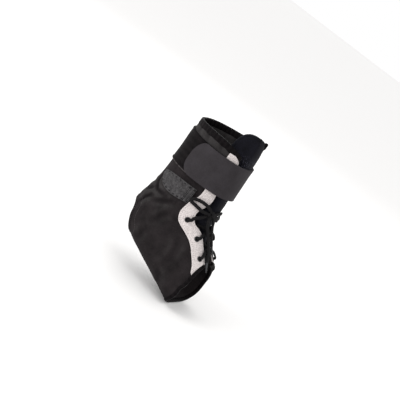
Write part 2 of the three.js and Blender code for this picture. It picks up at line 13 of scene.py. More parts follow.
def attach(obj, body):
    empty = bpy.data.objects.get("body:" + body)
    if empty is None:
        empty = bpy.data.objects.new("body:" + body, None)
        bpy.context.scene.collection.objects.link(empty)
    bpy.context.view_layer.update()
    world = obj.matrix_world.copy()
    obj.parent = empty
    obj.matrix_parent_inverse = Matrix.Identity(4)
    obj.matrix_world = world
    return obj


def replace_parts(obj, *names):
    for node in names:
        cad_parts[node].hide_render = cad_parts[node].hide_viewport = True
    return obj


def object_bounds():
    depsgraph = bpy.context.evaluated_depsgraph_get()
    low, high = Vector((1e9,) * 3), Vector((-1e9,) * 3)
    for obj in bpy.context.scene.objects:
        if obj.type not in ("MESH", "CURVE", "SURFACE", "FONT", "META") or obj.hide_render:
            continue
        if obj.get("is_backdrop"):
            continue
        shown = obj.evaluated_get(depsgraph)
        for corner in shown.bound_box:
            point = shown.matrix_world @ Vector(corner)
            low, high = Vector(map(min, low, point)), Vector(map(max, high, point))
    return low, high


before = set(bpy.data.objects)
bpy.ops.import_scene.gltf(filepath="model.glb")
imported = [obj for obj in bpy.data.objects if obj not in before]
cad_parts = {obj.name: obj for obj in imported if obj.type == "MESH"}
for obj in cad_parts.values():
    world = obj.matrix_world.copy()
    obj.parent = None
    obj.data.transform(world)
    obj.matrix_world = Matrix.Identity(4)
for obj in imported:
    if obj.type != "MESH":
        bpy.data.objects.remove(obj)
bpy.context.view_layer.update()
MM = 0.001

# The hollow that the ankle fills
LEG_DEPTH = 77
LEG_HALF_WIDTH = 33
SHAFT_HEIGHT = 142
INSTEP_REACH = 43.5
INSTEP_FALL = 34
HEEL_REACH = 52
SOLE_LENGTH = 144
SOLE_FALL = 94
FOOT_HALF_WIDTH = 36
LEG_FRONT = 0.422 * LEG_DEPTH

# Shares of the leg's depth, the shaft's height and the leg's half width: front, front up, back,
# back up, half, squareness
SHAFT = [
    (0.5, 1.31, 0.591, 1.31, 1.121, 2),
    (0.468, 1, 0.578, 1, 1.076, 2),
    (0.422, 0.69, 0.578, 0.69, 1, 2),
    (0.416, 0.437, 0.584, 0.437, 0.939, 2),
    (0.429, 0.296, 0.597, 0.268, 0.924, 2),
    (0.448, 0.204, 0.636, 0.07, 0.985, 2),
    (0.474, 0.141, 0.701, -0.099, 1.03, 2.1),
]
# Shares of the instep's reach and fall, the sole's length and fall and the foot's half width
FOOT = [
    (0.161, -0.324, 0, 0.436, 0.917, 2.9),
    (0.253, -0.088, 0.167, 0.574, 0.903, 3.6),
    (0.368, 0.147, 0.382, 0.681, 0.917, 4.2),
    (0.529, 0.412, 0.59, 0.787, 0.944, 4.4),
    (0.747, 0.706, 0.792, 0.894, 0.972, 4.4),
    (1, 1, 1, 1, 1, 4.4),
]
FIRST_STATION = -1

# Edges of the cloth: turn, station
OUTER_TOP = [(24, 0.84), (40, 0.74), (64, 0.64), (95, 0.61), (151, 0.65), (180, 0.66)]
INNER_TOP = [(24, 0.17), (40, 0.26), (64, 0.4), (95, 0.52), (151, 0.62), (180, 0.66)]
OUTER_TOE = [
    (14, 10.3), (31, 10.42), (56, 10.57), (74, 10.56), (97, 10.36), (135, 10.1), (180, 10.06),
]
INNER_TOE = [
    (14, 10.2), (31, 10.16), (56, 10.14), (74, 10.16), (97, 10.14), (135, 10.08), (180, 10.06),
]
# Front and back edges of the facings: station, turn
OPENING = [
    (0, 30), (1, 30.5), (2.5, 29.9), (3, 29.5), (3.6, 34), (4.1, 40), (4.8, 41), (5.6, 36.5),
    (6.4, 27), (7.15, 21), (8, 18.5), (9, 17), (11, 17),
]
FACING_BACK = [
    (0.8, 55), (2.5, 53.5), (3.04, 55), (3.65, 61.5), (4.36, 64), (5, 64), (5.56, 61), (6.1, 56),
    (6.9, 50.3), (7.55, 46.5), (8.35, 44.8), (9.15, 46), (9.75, 49), (10.3, 57.5), (11, 66),
]
FACING_TOP_STATION = 0.83
FACING_CORNER = 13
FACING_CORNER_DEPTH = 0.17
# The inner facing's front edge stands back from this station on, fully after the run.
INNER_INSET = 6
INNER_INSET_STARTS = 3.2
INNER_INSET_RUN = 1.2
EYELETS = [(9.5, 29.7), (7.57, 31.7), (5.39, 49.2)]
# Station, half turn, middle turn
TONGUE_ROWS = [
    (0.13, 9, -21), (0.17, 21, -21), (0.25, 30, -21), (0.39, 37, -20), (0.64, 42, -18), (1, 46, -13),
    (2, 47, -6), (3, 46, -3), (3.8, 52, 0), (4.6, 56, 0), (5.6, 53, 0), (6.5, 44, 0), (7.5, 36, 0),
    (8.6, 32, 0), (10.05, 30, 0),
]
# Turns inside the opening's edge between which the tongue rises to its crown
TONGUE_LIFT = (5, 16)
# The opening for the heel: middle station, reach in stations, reach in turns, squareness
HEEL = {"station": 5.93, "tall": 0.93, "wide": 55, "square": 2.3}

# Cloth layers
GAP = 0.3
WALL = 3
FACING_THICKNESS = 1.5
BAND_THICKNESS = 1.6
WRAP_THICKNESS = 1.8
TAB_THICKNESS = 1.8
TONGUE_THICKNESS = 5
TONGUE_CROWN = -1.6
# How far the padding swells beyond its crown along the tongue's middle: station, millimetres
TONGUE_PUFF = [
    (0.13, 0.4), (0.35, 3.4), (0.6, 5.8), (1, 7.6), (2.4, 7.6), (3.1, 7.4), (3.8, 6.6), (4.4, 5.6),
    (5, 4.8), (5.6, 3), (6.3, 1.8), (10.05, 1.5),
]
PUFF_REACH = 14
# Depth and reach of the tongue's rolled rim and of the sewn channel inside it
RIM_ROLL = (1.4, 1.1)
RIM_CHANNEL = (0.9, 0.9)
BINDING_WIDTH = 4.6
TOP_TAPE_WIDTH = 8.6
BINDING_OVERHANG = 0.5
# The band's raised hem and the groove beside it: height, distance from the edge, width
BAND_HEM = [(0.45, 1.3, 0.8), (-0.35, 3.2, 0.6)]
LAYER = WALL + GAP
FACING_TOP = LAYER + FACING_THICKNESS
BAND_TOP = LAYER + BAND_THICKNESS
WRAP_BASE = max(FACING_TOP, BAND_TOP) + GAP
SEAM = 0.06
# How near a hole's rim the cloth's points are drawn onto it
CUT_REACH = 3.2
TAPE_SIDES = 20
TAPE_SQUARENESS = 4.5
# Where the brushed cuff begins and how gently, the painted highlight on the ridges beside creases and the
# painted shade in their hollows
CUFF_LOW = 88
CUFF_FADE = 8
RIDGE_PAINTED_HIGHLIGHT = 0.9
RIDGE_HEIGHT = 0.5
CREASE_PAINTED_SHADE = 0.8
CREASE_SHADE_DEPTH = 1.0
# Heights where the tongue's dots begin, are whole and end
DOTS_FROM = (114, 105)
DOTS_TO = 80

# Straps
STRAP_TOP = 1.0
STRAP_BOTTOM = 2.38
BAND_ENDS = (-58, -300)
WRAP_SEWN = -284
WRAP_TIP = -469
WRAP_ROUND = 19
WRAP_DIP = 2
WRAP_DIP_INSET = 3
WRAP_BULGE = (3.8, 6)
WRAP_BULGE_REACH = 75
TAB = {"front": -64, "tip": -139, "top": 2.8, "bottom": 3.91, "tip_station": 3.09, "round": 58}
TAB_POINT = 0.68
BLUNT_TIP = 0.003

# Places looked at along a crease, how far creases stay off the facings, and how soon they are whole
CREASE_STEPS = 25
CREASE_CLEARANCE = 2
CREASE_FADE = 10
# Creases in the body: points of station and turn, depth, width
CREASES = [
    ([(3.15, -144), (3.7, -138), (4.07, -121), (4.17, -98)], 1.5, 2.6),
    ([(4.2, -80), (4.55, -96), (4.8, -112)], 0.8, 2.8),
    ([(4.45, -118), (4.85, -128), (5.3, -130)], 1.5, 2.6),
    ([(4.0, -128), (4.3, -142), (4.45, -160)], 1.3, 2.8),
    ([(3.7, -146), (3.85, -160), (3.9, -176)], 0.6, 2.6),
    ([(5.1, -70), (5.5, -84), (6.0, -92)], 0.5, 3.2),
    ([(6.6, -100), (7.0, -112), (7.2, -130)], 0.5, 3.6),
    ([(7.6, -62), (8.2, -74), (8.7, -92)], 0.4, 4.0),
    ([(8.6, -104), (9.1, -116), (9.3, -140)], 0.45, 4.0),
    ([(0.95, -100), (0.8, -104), (0.7, -106)], 0.7, 3.0),
    ([(0.95, -70), (0.85, -73), (0.75, -75)], 0.6, 2.6),
    ([(0.98, -126), (0.85, -128), (0.72, -131)], 0.6, 3.0),
    ([(4.2, 82), (4.6, 98), (4.9, 116)], 0.8, 2.8),
    ([(4.5, 122), (4.9, 130), (5.3, 133)], 0.8, 2.6),
    ([(4.0, 130), (4.25, 146), (4.3, 166)], 0.8, 3.0),
    ([(5.2, 74), (5.7, 86), (6.2, 96)], 0.5, 3.4),
    ([(6.7, 102), (7.1, 116), (7.3, 134)], 0.6, 3.4),
    ([(8.0, 66), (8.5, 80), (8.9, 100)], 0.45, 4.0),
    ([(0.9, 96), (0.75, 99), (0.62, 101)], 0.6, 3.0),
]

# Lace and eyelets
CAD_LACE = 3
LACE_WIDTH = 4
LACE_DEPTH = 2.5
LACE_RADIUS = CAD_LACE / 2
LACE_BRIDGE = 2
EYELET_BORE = 2.1
EYELET_RIM = 3.5
UNDER = -(GAP + LACE_RADIUS)
TONGUE_SIDE = UNDER - LACE_RADIUS - GAP
OVER = FACING_TOP + 2 * GAP + LACE_RADIUS
OVER_EYELET = OVER + 0.8
CROSS_LOW = TONGUE_CROWN + LACE_BRIDGE + LACE_RADIUS
CROSS_HIGH = CROSS_LOW + CAD_LACE + GAP
FREE = max(CROSS_HIGH, OVER) + CAD_LACE
TIP_LENGTH = 11
PLAITS = 4
PLAIT_PITCH = 3.2
PLAIT_RELIEF = 0.055
# Distance between the rings of points along the lace
LACE_STEP = 0.5
KNOT_PLACE = (3.95, -20, 9.4)
LOOP_OUTER = [
    (3.64, -26.4, 9.1), (3.38, -34.5, 8.6), (3.27, -46.5, 7.9), (3.3, -54, 7.3), (3.36, -59.2, 7),
    (3.49, -61.4, 7), (3.63, -60.4, 7), (3.72, -54, 7.1), (3.84, -46.5, 7.6), (3.97, -39, 8.3),
    (4.04, -28.2, 9.3),
]
LOOP_INNER = [
    (3.86, -12.3, 8.8), (3.76, 0, 8.2), (3.76, 11, 7.2), (3.92, 19, 6.2), (4.15, 21.5, 5.8),
    (4.38, 16.5, 6.4), (4.44, 6, 7.6), (4.28, -5, 8.7), (4.1, -12.3, 9.4),
]
END_FRONT = [
    (4.4, -21, 9.9), (4.9, -21, FREE), (5.6, -19, FREE), (6.6, -16, FREE), (7.7, -14, FREE),
    (8.8, -13, FREE), (9.5, -14, 8.8), (10, -17, 7.6),
]
END_INNER = [
    (4.36, -14.8, 10.9), (4.9, -11.5, FREE + 0.4), (5.8, -8.5, FREE), (6.8, -6.5, FREE),
    (7.8, -5, FREE), (8.5, -4, FREE),
]
TIP_FRONT = (10.62, -21, 6.4)
TIP_INNER = (9.3, -2.5, FREE)
# Steps of the held lace at an eyelet and at a facing's edge: station or share, turn, height
UNDER_EYELET = (-1.6, UNDER + 0.3)
OUT_OF_EYELET = (-0.03, -1, OVER_EYELET - 0.3)
BESIDE_EYELET = (-0.12, -5)
LEAVES_FACING = (0.45, 1)
ENTERS_FACING = (0.5, 0.5)
REACHES_FACING = (-0.05, -5, UNDER + 1.4)
BAR_RISE = (6, UNDER + 1)
OUTER_TO_KNOT = [(5.1, -42, OVER), (4.8, -33, OVER), (4.35, -24.5, OVER + 0.5)]
INNER_TO_KNOT = [(5.2, 40, OVER), (5.05, 28, OVER - 1), (4.85, 8, OVER - 1), (4.4, -13, OVER + 0.4)]

# Stitches: pitch, length, thread width, thread height
TAPE_STITCH = (2.6, 1.9, 0.5, 0.36)
RIM_STITCH = (2.8, 2, 0.5, 0.36)
FACING_STITCH = (2.7, 2, 0.5, 0.34)
BOX_STITCH = (2.4, 1.8, 0.5, 0.34)
BAR_STITCH = (1.9, 1.6, 0.8, 0.6)
TACK = (6.4, 3.2, 1.7, 0.9)

# Points left bare at each end of a tape's seam
SEAM_END = 5
# Rows of stitches: millimetres from the line that they follow
TAPE_ROW = 1.3
HEEL_ROWS = (1.3, -1.2)
HEEL_REINFORCEMENT = 7
FACING_BACK_ROW = 2.3
FACING_FRONT_ROW = 2
RIM_ROW = 3.4
BACK_SEAM_ROWS = (-1.4, 1.4)
# Turns of the rows across the straps
BOX_ROWS = (WRAP_SEWN - 1.5, WRAP_SEWN - 4.5, WRAP_SEWN - 12)
BAR_ROWS = (-66, -68.2, -73, -75.2)

# The photograph's viewpoint
VIEW_AZIMUTH = 22
VIEW_ELEVATION = 15
VIEW_ROLL = 54
VIEW_DISTANCE = 1.4
VIEW_LENS = 103.3
VIEW_SHIFT = (0.05, 0.035)
SENSOR_WIDTH = 36

# Soft lamps: metres to the right, up and towards the camera, disc, watts
LAMPS = {
    "key": (-0.7, 1, 0.9, 1.1, 12),
    "fill": (1.1, 0.1, 1, 1.4, 1.5),
    "rim": (0.5, 0.9, -0.9, 0.9, 3),
}
FLOOR_REACH = 6
FLOOR_GAP = 0.0015


def eased(share):
    """A share from 0 to 1 that starts and stops gently."""
    share = np.clip(share, 0, 1)
    return share * share * (3 - 2 * share)


def rounded(values, power):
    """Values from -1 to 1 raised to a power, each with its own sign."""
    return np.sign(values) * np.abs(values) ** power


def smooth(table, x, column=1):
    """Reads a table of rows by a smooth curve through them."""
    rows = np.array(table, float)
    xs, ys = rows[:, 0], rows[:, column]
    x = np.clip(np.asarray(x, float), xs[0], xs[-1])
    i = np.clip(np.searchsorted(xs, x), 1, len(xs) - 1)
    a, before, after = i - 1, np.maximum(i - 2, 0), np.minimum(i + 1, len(xs) - 1)
    span = xs[i] - xs[a]
    t = (x - xs[a]) / span
    slope_a = (ys[i] - ys[before]) / (xs[i] - xs[before])
    slope_b = (ys[after] - ys[a]) / (xs[after] - xs[a])
    bend = (t - 1) * t * span * ((t - 1) * slope_a + t * slope_b)
    return ys[a] + (ys[i] - ys[a]) * eased(t) + bend


def sections():
    """Rows of the hollow: row number, front point, back point, half width, squareness."""
    rows = []
    for front, front_up, back, back_up, half, square in SHAFT:
        rows.append((
            len(rows), front * LEG_DEPTH, front_up * SHAFT_HEIGHT, -back * LEG_DEPTH,
            back_up * SHAFT_HEIGHT, half * LEG_HALF_WIDTH, square,
        ))
    for front, front_down, back, back_down, half, square in FOOT:
        rows.append((
            len(rows), LEG_FRONT + front * INSTEP_REACH, -front_down * INSTEP_FALL,
            back * SOLE_LENGTH - HEEL_REACH, -back_down * SOLE_FALL, half * FOOT_HALF_WIDTH, square,
        ))
    return rows


SECTIONS = sections()


def skin(station, turn):
    """Points of the skin surface, one for each pair of station and turn."""
    station, turn = np.broadcast_arrays(np.asarray(station, float), np.asarray(turn, float))
    row = station - FIRST_STATION
    fx, fz, bx, bz, half, square = (smooth(SECTIONS, row, c) for c in range(1, 7))
    cosine, sine = np.cos(np.radians(turn)), np.sin(np.radians(turn))
    power = np.where(cosine < 0, 2 / square, 1)
    ahead = rounded(cosine, power)
    return np.stack([
        (fx + bx) / 2 + (fx - bx) / 2 * ahead,
        half * rounded(sine, power),
        (fz + bz) / 2 + (fz - bz) / 2 * ahead,
    ], -1)


def unit(vectors):
    """The same directions, one unit long."""
    return vectors / np.maximum(np.linalg.norm(vectors, axis=-1, keepdims=True), 1e-9)


def outward(station, turn):
    """Directions square to the skin."""
    step = 0.02
    station, turn = np.asarray(station, float), np.asarray(turn, float)
    down = skin(station + step, turn) - skin(station - step, turn)
    around = skin(station, turn + 1) - skin(station, turn - 1)
    return -unit(np.cross(around, down))


def over(station, turn, height):
    """Points at a height over the skin."""
    height = np.asarray(height, float)[..., None]
    return skin(station, turn) + outward(station, turn) * height


def stations_per_mm(station, turn):
    """How much of a station a millimetre down the skin is."""
    step = 0.05
    ends = skin(station + step, turn) - skin(station - step, turn)
    return 2 * step / np.linalg.norm(ends, axis=-1)


def turns_per_mm(station, turn):
    """How much turn a millimetre round the skin is."""
    step = 1.0
    ends = skin(station, turn + step) - skin(station, turn - step)
    return 2 * step / np.linalg.norm(ends, axis=-1)


def fold(turn):
    """The same turn from -180 to 180."""
    return (np.asarray(turn, float) + 180) % 360 - 180


def top_edge(turn):
    """Stations of the cloth's top edge."""
    side = fold(turn)
    return np.where(side < 0, smooth(OUTER_TOP, np.abs(side)), smooth(INNER_TOP, np.abs(side)))


def toe_edge(turn):
    """Stations of the cloth's edge at the toes."""
    side = fold(turn)
    return np.where(side < 0, smooth(OUTER_TOE, np.abs(side)), smooth(INNER_TOE, np.abs(side)))


def top_line(turn):
    """The middle of a plain binding on the top edge."""
    edge = top_edge(turn)
    return edge + BINDING_WIDTH / 2 * stations_per_mm(edge, turn)


def toe_line(turn):
    """The middle of the binding on the toe edge."""
    edge = toe_edge(turn)
    return edge - BINDING_WIDTH / 2 * stations_per_mm(edge, turn)


def opening_at(station):
    """The turn from the middle of the front to the opening's edge, the same on both sides."""
    return smooth(OPENING, station)


def heel_line(count):
    """Stations and turns round the opening for the heel."""
    angle = np.linspace(0, 2 * np.pi, count, endpoint=False)
    power = 2 / HEEL["square"]
    stations = HEEL["station"] - HEEL["tall"] * rounded(np.cos(angle), power)
    return stations, -180 + HEEL["wide"] * rounded(np.sin(angle), power)


def linear(hexadecimal):
    """sRGB hex to linear, with alpha."""
    parts = [((hexadecimal >> shift) & 255) / 255 for shift in (16, 8, 0)]
    return tuple(p / 12.92 if p <= 0.04045 else ((p + 0.055) / 1.055) ** 2.4 for p in parts) + (1,)


# The output that carries a node's result, where it isn't the first
RESULTS = {"ShaderNodeTexWave": "Fac", "ShaderNodeAttribute": "Fac", "ShaderNodeMix": 2}


def add_node(tree, kind, settings=None, links=None):
    """Adds a node, sets its properties, sockets and colour stops, links sockets into it, and
    gives the output that carries its result."""
    node = tree.nodes.new(kind)
    for key, value in (settings or {}).items():
        if key == "stops":
            for stop, (position, colour) in zip(node.color_ramp.elements, value):
                stop.position = position
                stop.color = linear(colour)
        elif isinstance(key, str) and hasattr(node, key):
            setattr(node, key, value)
        else:
            node.inputs[key].default_value = value
    for key, source in (links or {}).items():
        tree.links.new(source, node.inputs[key])
    return node.outputs[RESULTS.get(kind, 0)]


def new_material(name):
    """An empty material, its nodes, and the places that its patterns are read from."""
    material = bpy.data.materials.new(name)
    material.use_nodes = True
    tree = material.node_tree
    return material, tree, tree.nodes.new("ShaderNodeTexCoord").outputs


def finish(material, settings, links=None):
    """Sets the shader's values that are the same all over, and links what varies into it."""
    shader = material.node_tree.nodes["Principled BSDF"]
    for key, value in settings.items():
        shader.inputs[key].default_value = value
    for key, source in (links or {}).items():
        material.node_tree.links.new(source, shader.inputs[key])
    return material


def per_mm(millimetres):
    """A texture scale, per metre, for a pattern of that size."""
    return 1 / (millimetres * MM)


def band_scale(thread):
    """A wave texture's scale for threads of that spacing. The texture turns 20 radians a unit, so
    its bands lie six times further apart than the real threads, and coarse enough to show."""
    return per_mm(thread) / 20


def knit_cloth(
    name, dark, light, roughness, sheen, wale, course, relief, mottle, nap=None, dots=None,
):
    """Knitted or woven face of fine threads: ribs along and across the cloth, a soft blotchy
    colour where the pile lies differently, and a matt face with a faint sheen at its edges."""
    material, tree, place = new_material(name)
    blotches = add_node(
        tree, "ShaderNodeTexNoise",
        {"Scale": per_mm(mottle), "Detail": 5.0, "Roughness": 0.62}, {"Vector": place["Object"]},
    )
    grain = add_node(
        tree, "ShaderNodeTexNoise",
        {"Scale": per_mm(1.1), "Detail": 3.0, "Roughness": 0.7}, {"Vector": place["Object"]},
    )
    mixed = add_node(
        tree, "ShaderNodeMath", {"operation": "MULTIPLY_ADD", 1: 0.45}, {0: grain, 2: blotches},
    )
    level = add_node(tree, "ShaderNodeMapRange", {"From Min": 0.5, "From Max": 0.95}, {"Value": mixed})
    face = add_node(tree, "ShaderNodeValToRGB", {"stops": [(0, dark), (1, light)]}, {"Fac": level})
    # The nap colours serve two things: the brushed cuff's paler nap, and a painted highlight on the ridges
    # beside creases.
    if nap:
        brushed = add_node(tree, "ShaderNodeAttribute", {"attribute_name": "nap"})
        pale = add_node(
            tree, "ShaderNodeValToRGB", {"stops": [(0, nap[0]), (1, nap[1])]}, {"Fac": level},
        )
        both = add_node(tree, "ShaderNodeMix", {"data_type": "RGBA"}, {0: brushed, 6: face, 7: pale})
        # Painted shade: the bottom of a crease is darkened towards near black by its depth.
        hollow = add_node(tree, "ShaderNodeAttribute", {"attribute_name": "hollow"})
        face = add_node(
            tree, "ShaderNodeMix", {"data_type": "RGBA", 7: linear(0x080607)}, {0: hollow, 6: both},
        )
    if dots:
        # The real dots are knitted holes a millimetre apart. They are drawn coarser, so that they show.
        spots = add_node(
            tree, "ShaderNodeTexVoronoi", {"Scale": per_mm(1.9), "Randomness": 0.3},
            {"Vector": place["UV"]},
        )
        bright = add_node(
            tree, "ShaderNodeMapRange", {"From Min": 0.34, "From Max": 0.2}, {"Value": spots},
        )
        shown = add_node(tree, "ShaderNodeAttribute", {"attribute_name": "dots"})
        amount = add_node(tree, "ShaderNodeMath", {"operation": "MULTIPLY"}, {0: bright, 1: shown})
        face = add_node(
            tree, "ShaderNodeMix", {"data_type": "RGBA", 7: linear(dots)}, {0: amount, 6: face},
        )
    ribs, rows = (
        add_node(
            tree, "ShaderNodeTexWave",
            {"Scale": band_scale(thread), "bands_direction": way, "Distortion": 0.4, "Detail": 1.0},
            {"Vector": place["UV"]},
        )
        for thread, way in ((wale, "X"), (course, "Y"))
    )
    weave = add_node(tree, "ShaderNodeMath", {"operation": "MULTIPLY"}, {0: ribs, 1: rows})
    height = add_node(
        tree, "ShaderNodeMath", {"operation": "MULTIPLY_ADD", 1: 0.5}, {0: grain, 2: weave},
    )
    bump = add_node(
        tree, "ShaderNodeBump", {"Strength": relief, "Distance": 0.0003}, {"Height": height},
    )
    settings = {"Roughness": roughness, "Specular IOR Level": 0.08}
    settings.update({"Sheen Weight": sheen, "Sheen Roughness": 0.5})
    return finish(material, settings, {"Base Color": face, "Normal": bump})


def spacer_mesh():
    """Polyester spacer mesh: a pale, springy double knit whose face shows rows of tiny holes."""
    material, tree, place = new_material("polyester_spacer_mesh")
    # The real holes are under a millimetre apart. They are drawn coarser, so that they show.
    holes = add_node(
        tree, "ShaderNodeTexVoronoi", {"Scale": per_mm(2.1), "Randomness": 0.28},
        {"Vector": place["UV"]},
    )
    depth = add_node(
        tree, "ShaderNodeMapRange", {"From Min": 0.12, "From Max": 0.36}, {"Value": holes},
    )
    fuzz = add_node(
        tree, "ShaderNodeTexNoise",
        {"Scale": per_mm(2.6), "Detail": 4.0, "Roughness": 0.7}, {"Vector": place["Object"]},
    )
    face = add_node(
        tree, "ShaderNodeValToRGB", {"stops": [(0.3, 0xBDB5B3), (0.7, 0xDCD4D2)]}, {"Fac": fuzz},
    )
    colour = add_node(
        tree, "ShaderNodeMix", {"data_type": "RGBA", 6: linear(0x989090)}, {0: depth, 7: face},
    )
    bump = add_node(tree, "ShaderNodeBump", {"Strength": 0.5, "Distance": 0.0004}, {"Height": depth})
    return finish(
        material, {"Roughness": 0.85, "Sheen Weight": 0.1}, {"Base Color": colour, "Normal": bump},
    )


def hook_fabric():
    """Hook tape: short stiff nylon hooks, which look like a grey, hairy and uneven nap."""
    material, tree, place = new_material("nylon_hook_tape")
    nap = add_node(
        tree, "ShaderNodeTexNoise",
        {"Scale": per_mm(3.4), "Detail": 6.0, "Roughness": 0.75, "Distortion": 0.6},
        {"Vector": place["Object"]},
    )
    colour = add_node(
        tree, "ShaderNodeValToRGB", {"stops": [(0.34, 0x222122), (0.68, 0x4C4A4B)]}, {"Fac": nap},
    )
    hooks = add_node(
        tree, "ShaderNodeTexVoronoi", {"Scale": per_mm(1.3)}, {"Vector": place["UV"]},
    )
    height = add_node(tree, "ShaderNodeMath", {"operation": "SUBTRACT"}, {0: nap, 1: hooks})
    bump = add_node(tree, "ShaderNodeBump", {"Strength": 0.9, "Distance": 0.0006}, {"Height": height})
    return finish(
        material, {"Roughness": 0.8, "Specular IOR Level": 0.15, "Sheen Weight": 0.06},
        {"Base Color": colour, "Normal": bump},
    )


def ribbed_tape(name, dark, light, rib):
    """Woven nylon tape: close ribs across its length, nearly black, with a slight shine."""
    material, tree, place = new_material(name)
    ribs = add_node(
        tree, "ShaderNodeTexWave",
        {"Scale": band_scale(rib), "bands_direction": "X", "Distortion": 0.5, "Detail": 1.0},
        {"Vector": place["UV"]},
    )
    wear = add_node(
        tree, "ShaderNodeTexNoise", {"Scale": per_mm(6), "Detail": 4.0}, {"Vector": place["Object"]},
    )
    both = add_node(
        tree, "ShaderNodeMath", {"operation": "MULTIPLY_ADD", 1: 0.35}, {0: ribs, 2: wear},
    )
    colour = add_node(
        tree, "ShaderNodeValToRGB", {"stops": [(0.35, dark), (0.9, light)]}, {"Fac": both},
    )
    bump = add_node(tree, "ShaderNodeBump", {"Strength": 0.6, "Distance": 0.0003}, {"Height": ribs})
    return finish(
        material, {"Roughness": 0.62, "Specular IOR Level": 0.05},
        {"Base Color": colour, "Normal": bump},
    )


def lace_braid():
    """Braided polyester lace: a dull black cord whose plaits catch a little light."""
    material, tree, place = new_material("braided_polyester")
    fibres = add_node(
        tree, "ShaderNodeTexNoise",
        {"Scale": per_mm(1.4), "Detail": 4.0, "Roughness": 0.7}, {"Vector": place["UV"]},
    )
    colour = add_node(
        tree, "ShaderNodeValToRGB", {"stops": [(0.36, 0x060506), (0.72, 0x151315)]}, {"Fac": fibres},
    )
    bump = add_node(tree, "ShaderNodeBump", {"Strength": 0.5, "Distance": 0.0002}, {"Height": fibres})
    return finish(
        material, {"Roughness": 0.7, "Specular IOR Level": 0.15},
        {"Base Color": colour, "Normal": bump},
    )


def enamelled_brass():
    """Brass with black enamel, pressed and rolled: smooth, with worn and duller patches."""
    material, tree, place = new_material("enamelled_brass")
    wear = add_node(
        tree, "ShaderNodeTexNoise", {"Scale": per_mm(1.6), "Detail": 5.0}, {"Vector": place["Object"]},
    )
    colour = add_node(
        tree, "ShaderNodeValToRGB", {"stops": [(0, 0x0D0D0E), (1, 0x26262A)]}, {"Fac": wear},
    )
    dull = add_node(tree, "ShaderNodeMapRange", {"To Min": 0.28, "To Max": 0.55}, {"Value": wear})
    return finish(material, {}, {"Base Color": colour, "Roughness": dull})


def thread(name, dark, light):
    """Twisted polyester sewing thread: each stitch a small bead with little shine."""
    material, tree, place = new_material(name)
    twist = add_node(
        tree, "ShaderNodeTexNoise", {"Scale": per_mm(0.8), "Detail": 2.0}, {"Vector": place["Object"]},
    )
    colour = add_node(tree, "ShaderNodeValToRGB", {"stops": [(0, dark), (1, light)]}, {"Fac": twist})
    return finish(material, {"Roughness": 0.65, "Specular IOR Level": 0.15}, {"Base Color": colour})


# The body's paler nap colours also paint a highlight on the ridges beside creases.
CLOTH = knit_cloth(
    "nylon_tricot_laminate", 0x151213, 0x272324, roughness=0.88, sheen=0.02, wale=0.9, course=0.7,
    relief=0.4, mottle=18, nap=(0x211F1F, 0x353333),
)
TONGUE_CLOTH = knit_cloth(
    "padded_elastane_knit", 0x08080C, 0x12121A, roughness=0.75, sheen=0.02, wale=0.8, course=0.8,
    relief=0.3, mottle=9, dots=0x3A3A43,
)
WRAP_CLOTH = knit_cloth(
    "brushed_loop_velour", 0x2A2729, 0x363336, roughness=0.94, sheen=0.06, wale=0.8, course=0.8,
    relief=0.25, mottle=22,
)
BAND_CLOTH = ribbed_tape("woven_elastic", 0x060405, 0x120F10, 1.3)
# Painted highlight: the rolled edge is drawn much paler than the black band, standing for the light along
# it.
PIPING_HIGHLIGHT = ribbed_tape("rolled_edge_painted_highlight", 0x2A2727, 0x464242, 0.9)
TAPE = ribbed_tape("nylon_binding_tape", 0x060405, 0x120F10, 0.9)
MESH = spacer_mesh()
HOOKS = hook_fabric()
BRAID = lace_braid()
ENAMEL = enamelled_brass()
BLACK_THREAD = thread("waxed_black_thread", 0x020202, 0x070607)
DARK_THREAD = thread("black_polyester_thread", 0x0F0E0F, 0x242223)
SOFT_THREAD = thread("grey_polyester_thread", 0x8E8788, 0xA9A2A3)
BODY_THREAD = thread("charcoal_polyester_thread", 0x3C3839, 0x565152)


def signed_volume(points, faces):
    """Six times the volume inside quads, below zero where they face inwards."""
    a, b, c, d = (points[faces[:, k]] for k in range(4))
    first = np.einsum("ij,ij->i", a, np.cross(b, c))
    return (first + np.einsum("ij,ij->i", a, np.cross(c, d))).sum()


def add_object(name, data):
    """Adds an object at the origin."""
    item = bpy.data.objects.new(name, data)
    bpy.context.scene.collection.objects.link(item)
    return item


def add_piece(name, mesh, slot):
    """Adds a finished mesh as a piece of the brace."""
    mesh.shade_smooth()
    piece = add_object(name, mesh)
    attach(piece, "root")
    return piece


def make_piece(name, points, faces, material, slot, uv=None):
    """An object from points in millimetres and quads, turned to face outwards."""
    faces = np.asarray(faces)
    if signed_volume(points, faces) < 0:
        faces = faces[:, ::-1]
    mesh = bpy.data.meshes.new(name)
    mesh.from_pydata((points * MM).tolist(), [], faces.tolist())
    if uv is not None:
        corners = np.empty(len(mesh.loops), dtype=np.int32)
        mesh.loops.foreach_get("vertex_index", corners)
        layer = mesh.uv_layers.new(name="cloth")
        layer.data.foreach_set("uv", (uv[corners] * MM).astype(np.float32).ravel())
    mesh.validate()
    mesh.materials.append(material)
    return add_piece(name, mesh, slot)


def heights_of(piece):
    """The height of each point of a piece, in millimetres."""
    places = np.empty(len(piece.data.vertices) * 3, dtype=np.float32)
    piece.data.vertices.foreach_get("co", places)
    return places.reshape(-1, 3)[:, 2] / MM


def mark(piece, name, values):
    """Stores a value for each point, which the piece's material reads by name."""
    layer = piece.data.attributes.new(name, "FLOAT", "POINT")
    layer.data.foreach_set("value", values.astype(np.float32))


def along(points):
    """Lengths from the first point."""
    steps = np.linalg.norm(np.diff(points, axis=0), axis=1)
    return np.concatenate([[0], np.cumsum(steps)])


def flat_uv(stations, turns):
    """Places on the cloth as if it lay flat."""
    place = skin(stations, turns)
    u = along(place[place.shape[0] // 2])
    v = along(place[:, place.shape[1] // 2])
    return np.stack(np.meshgrid(u, v), -1).reshape(-1, 2)


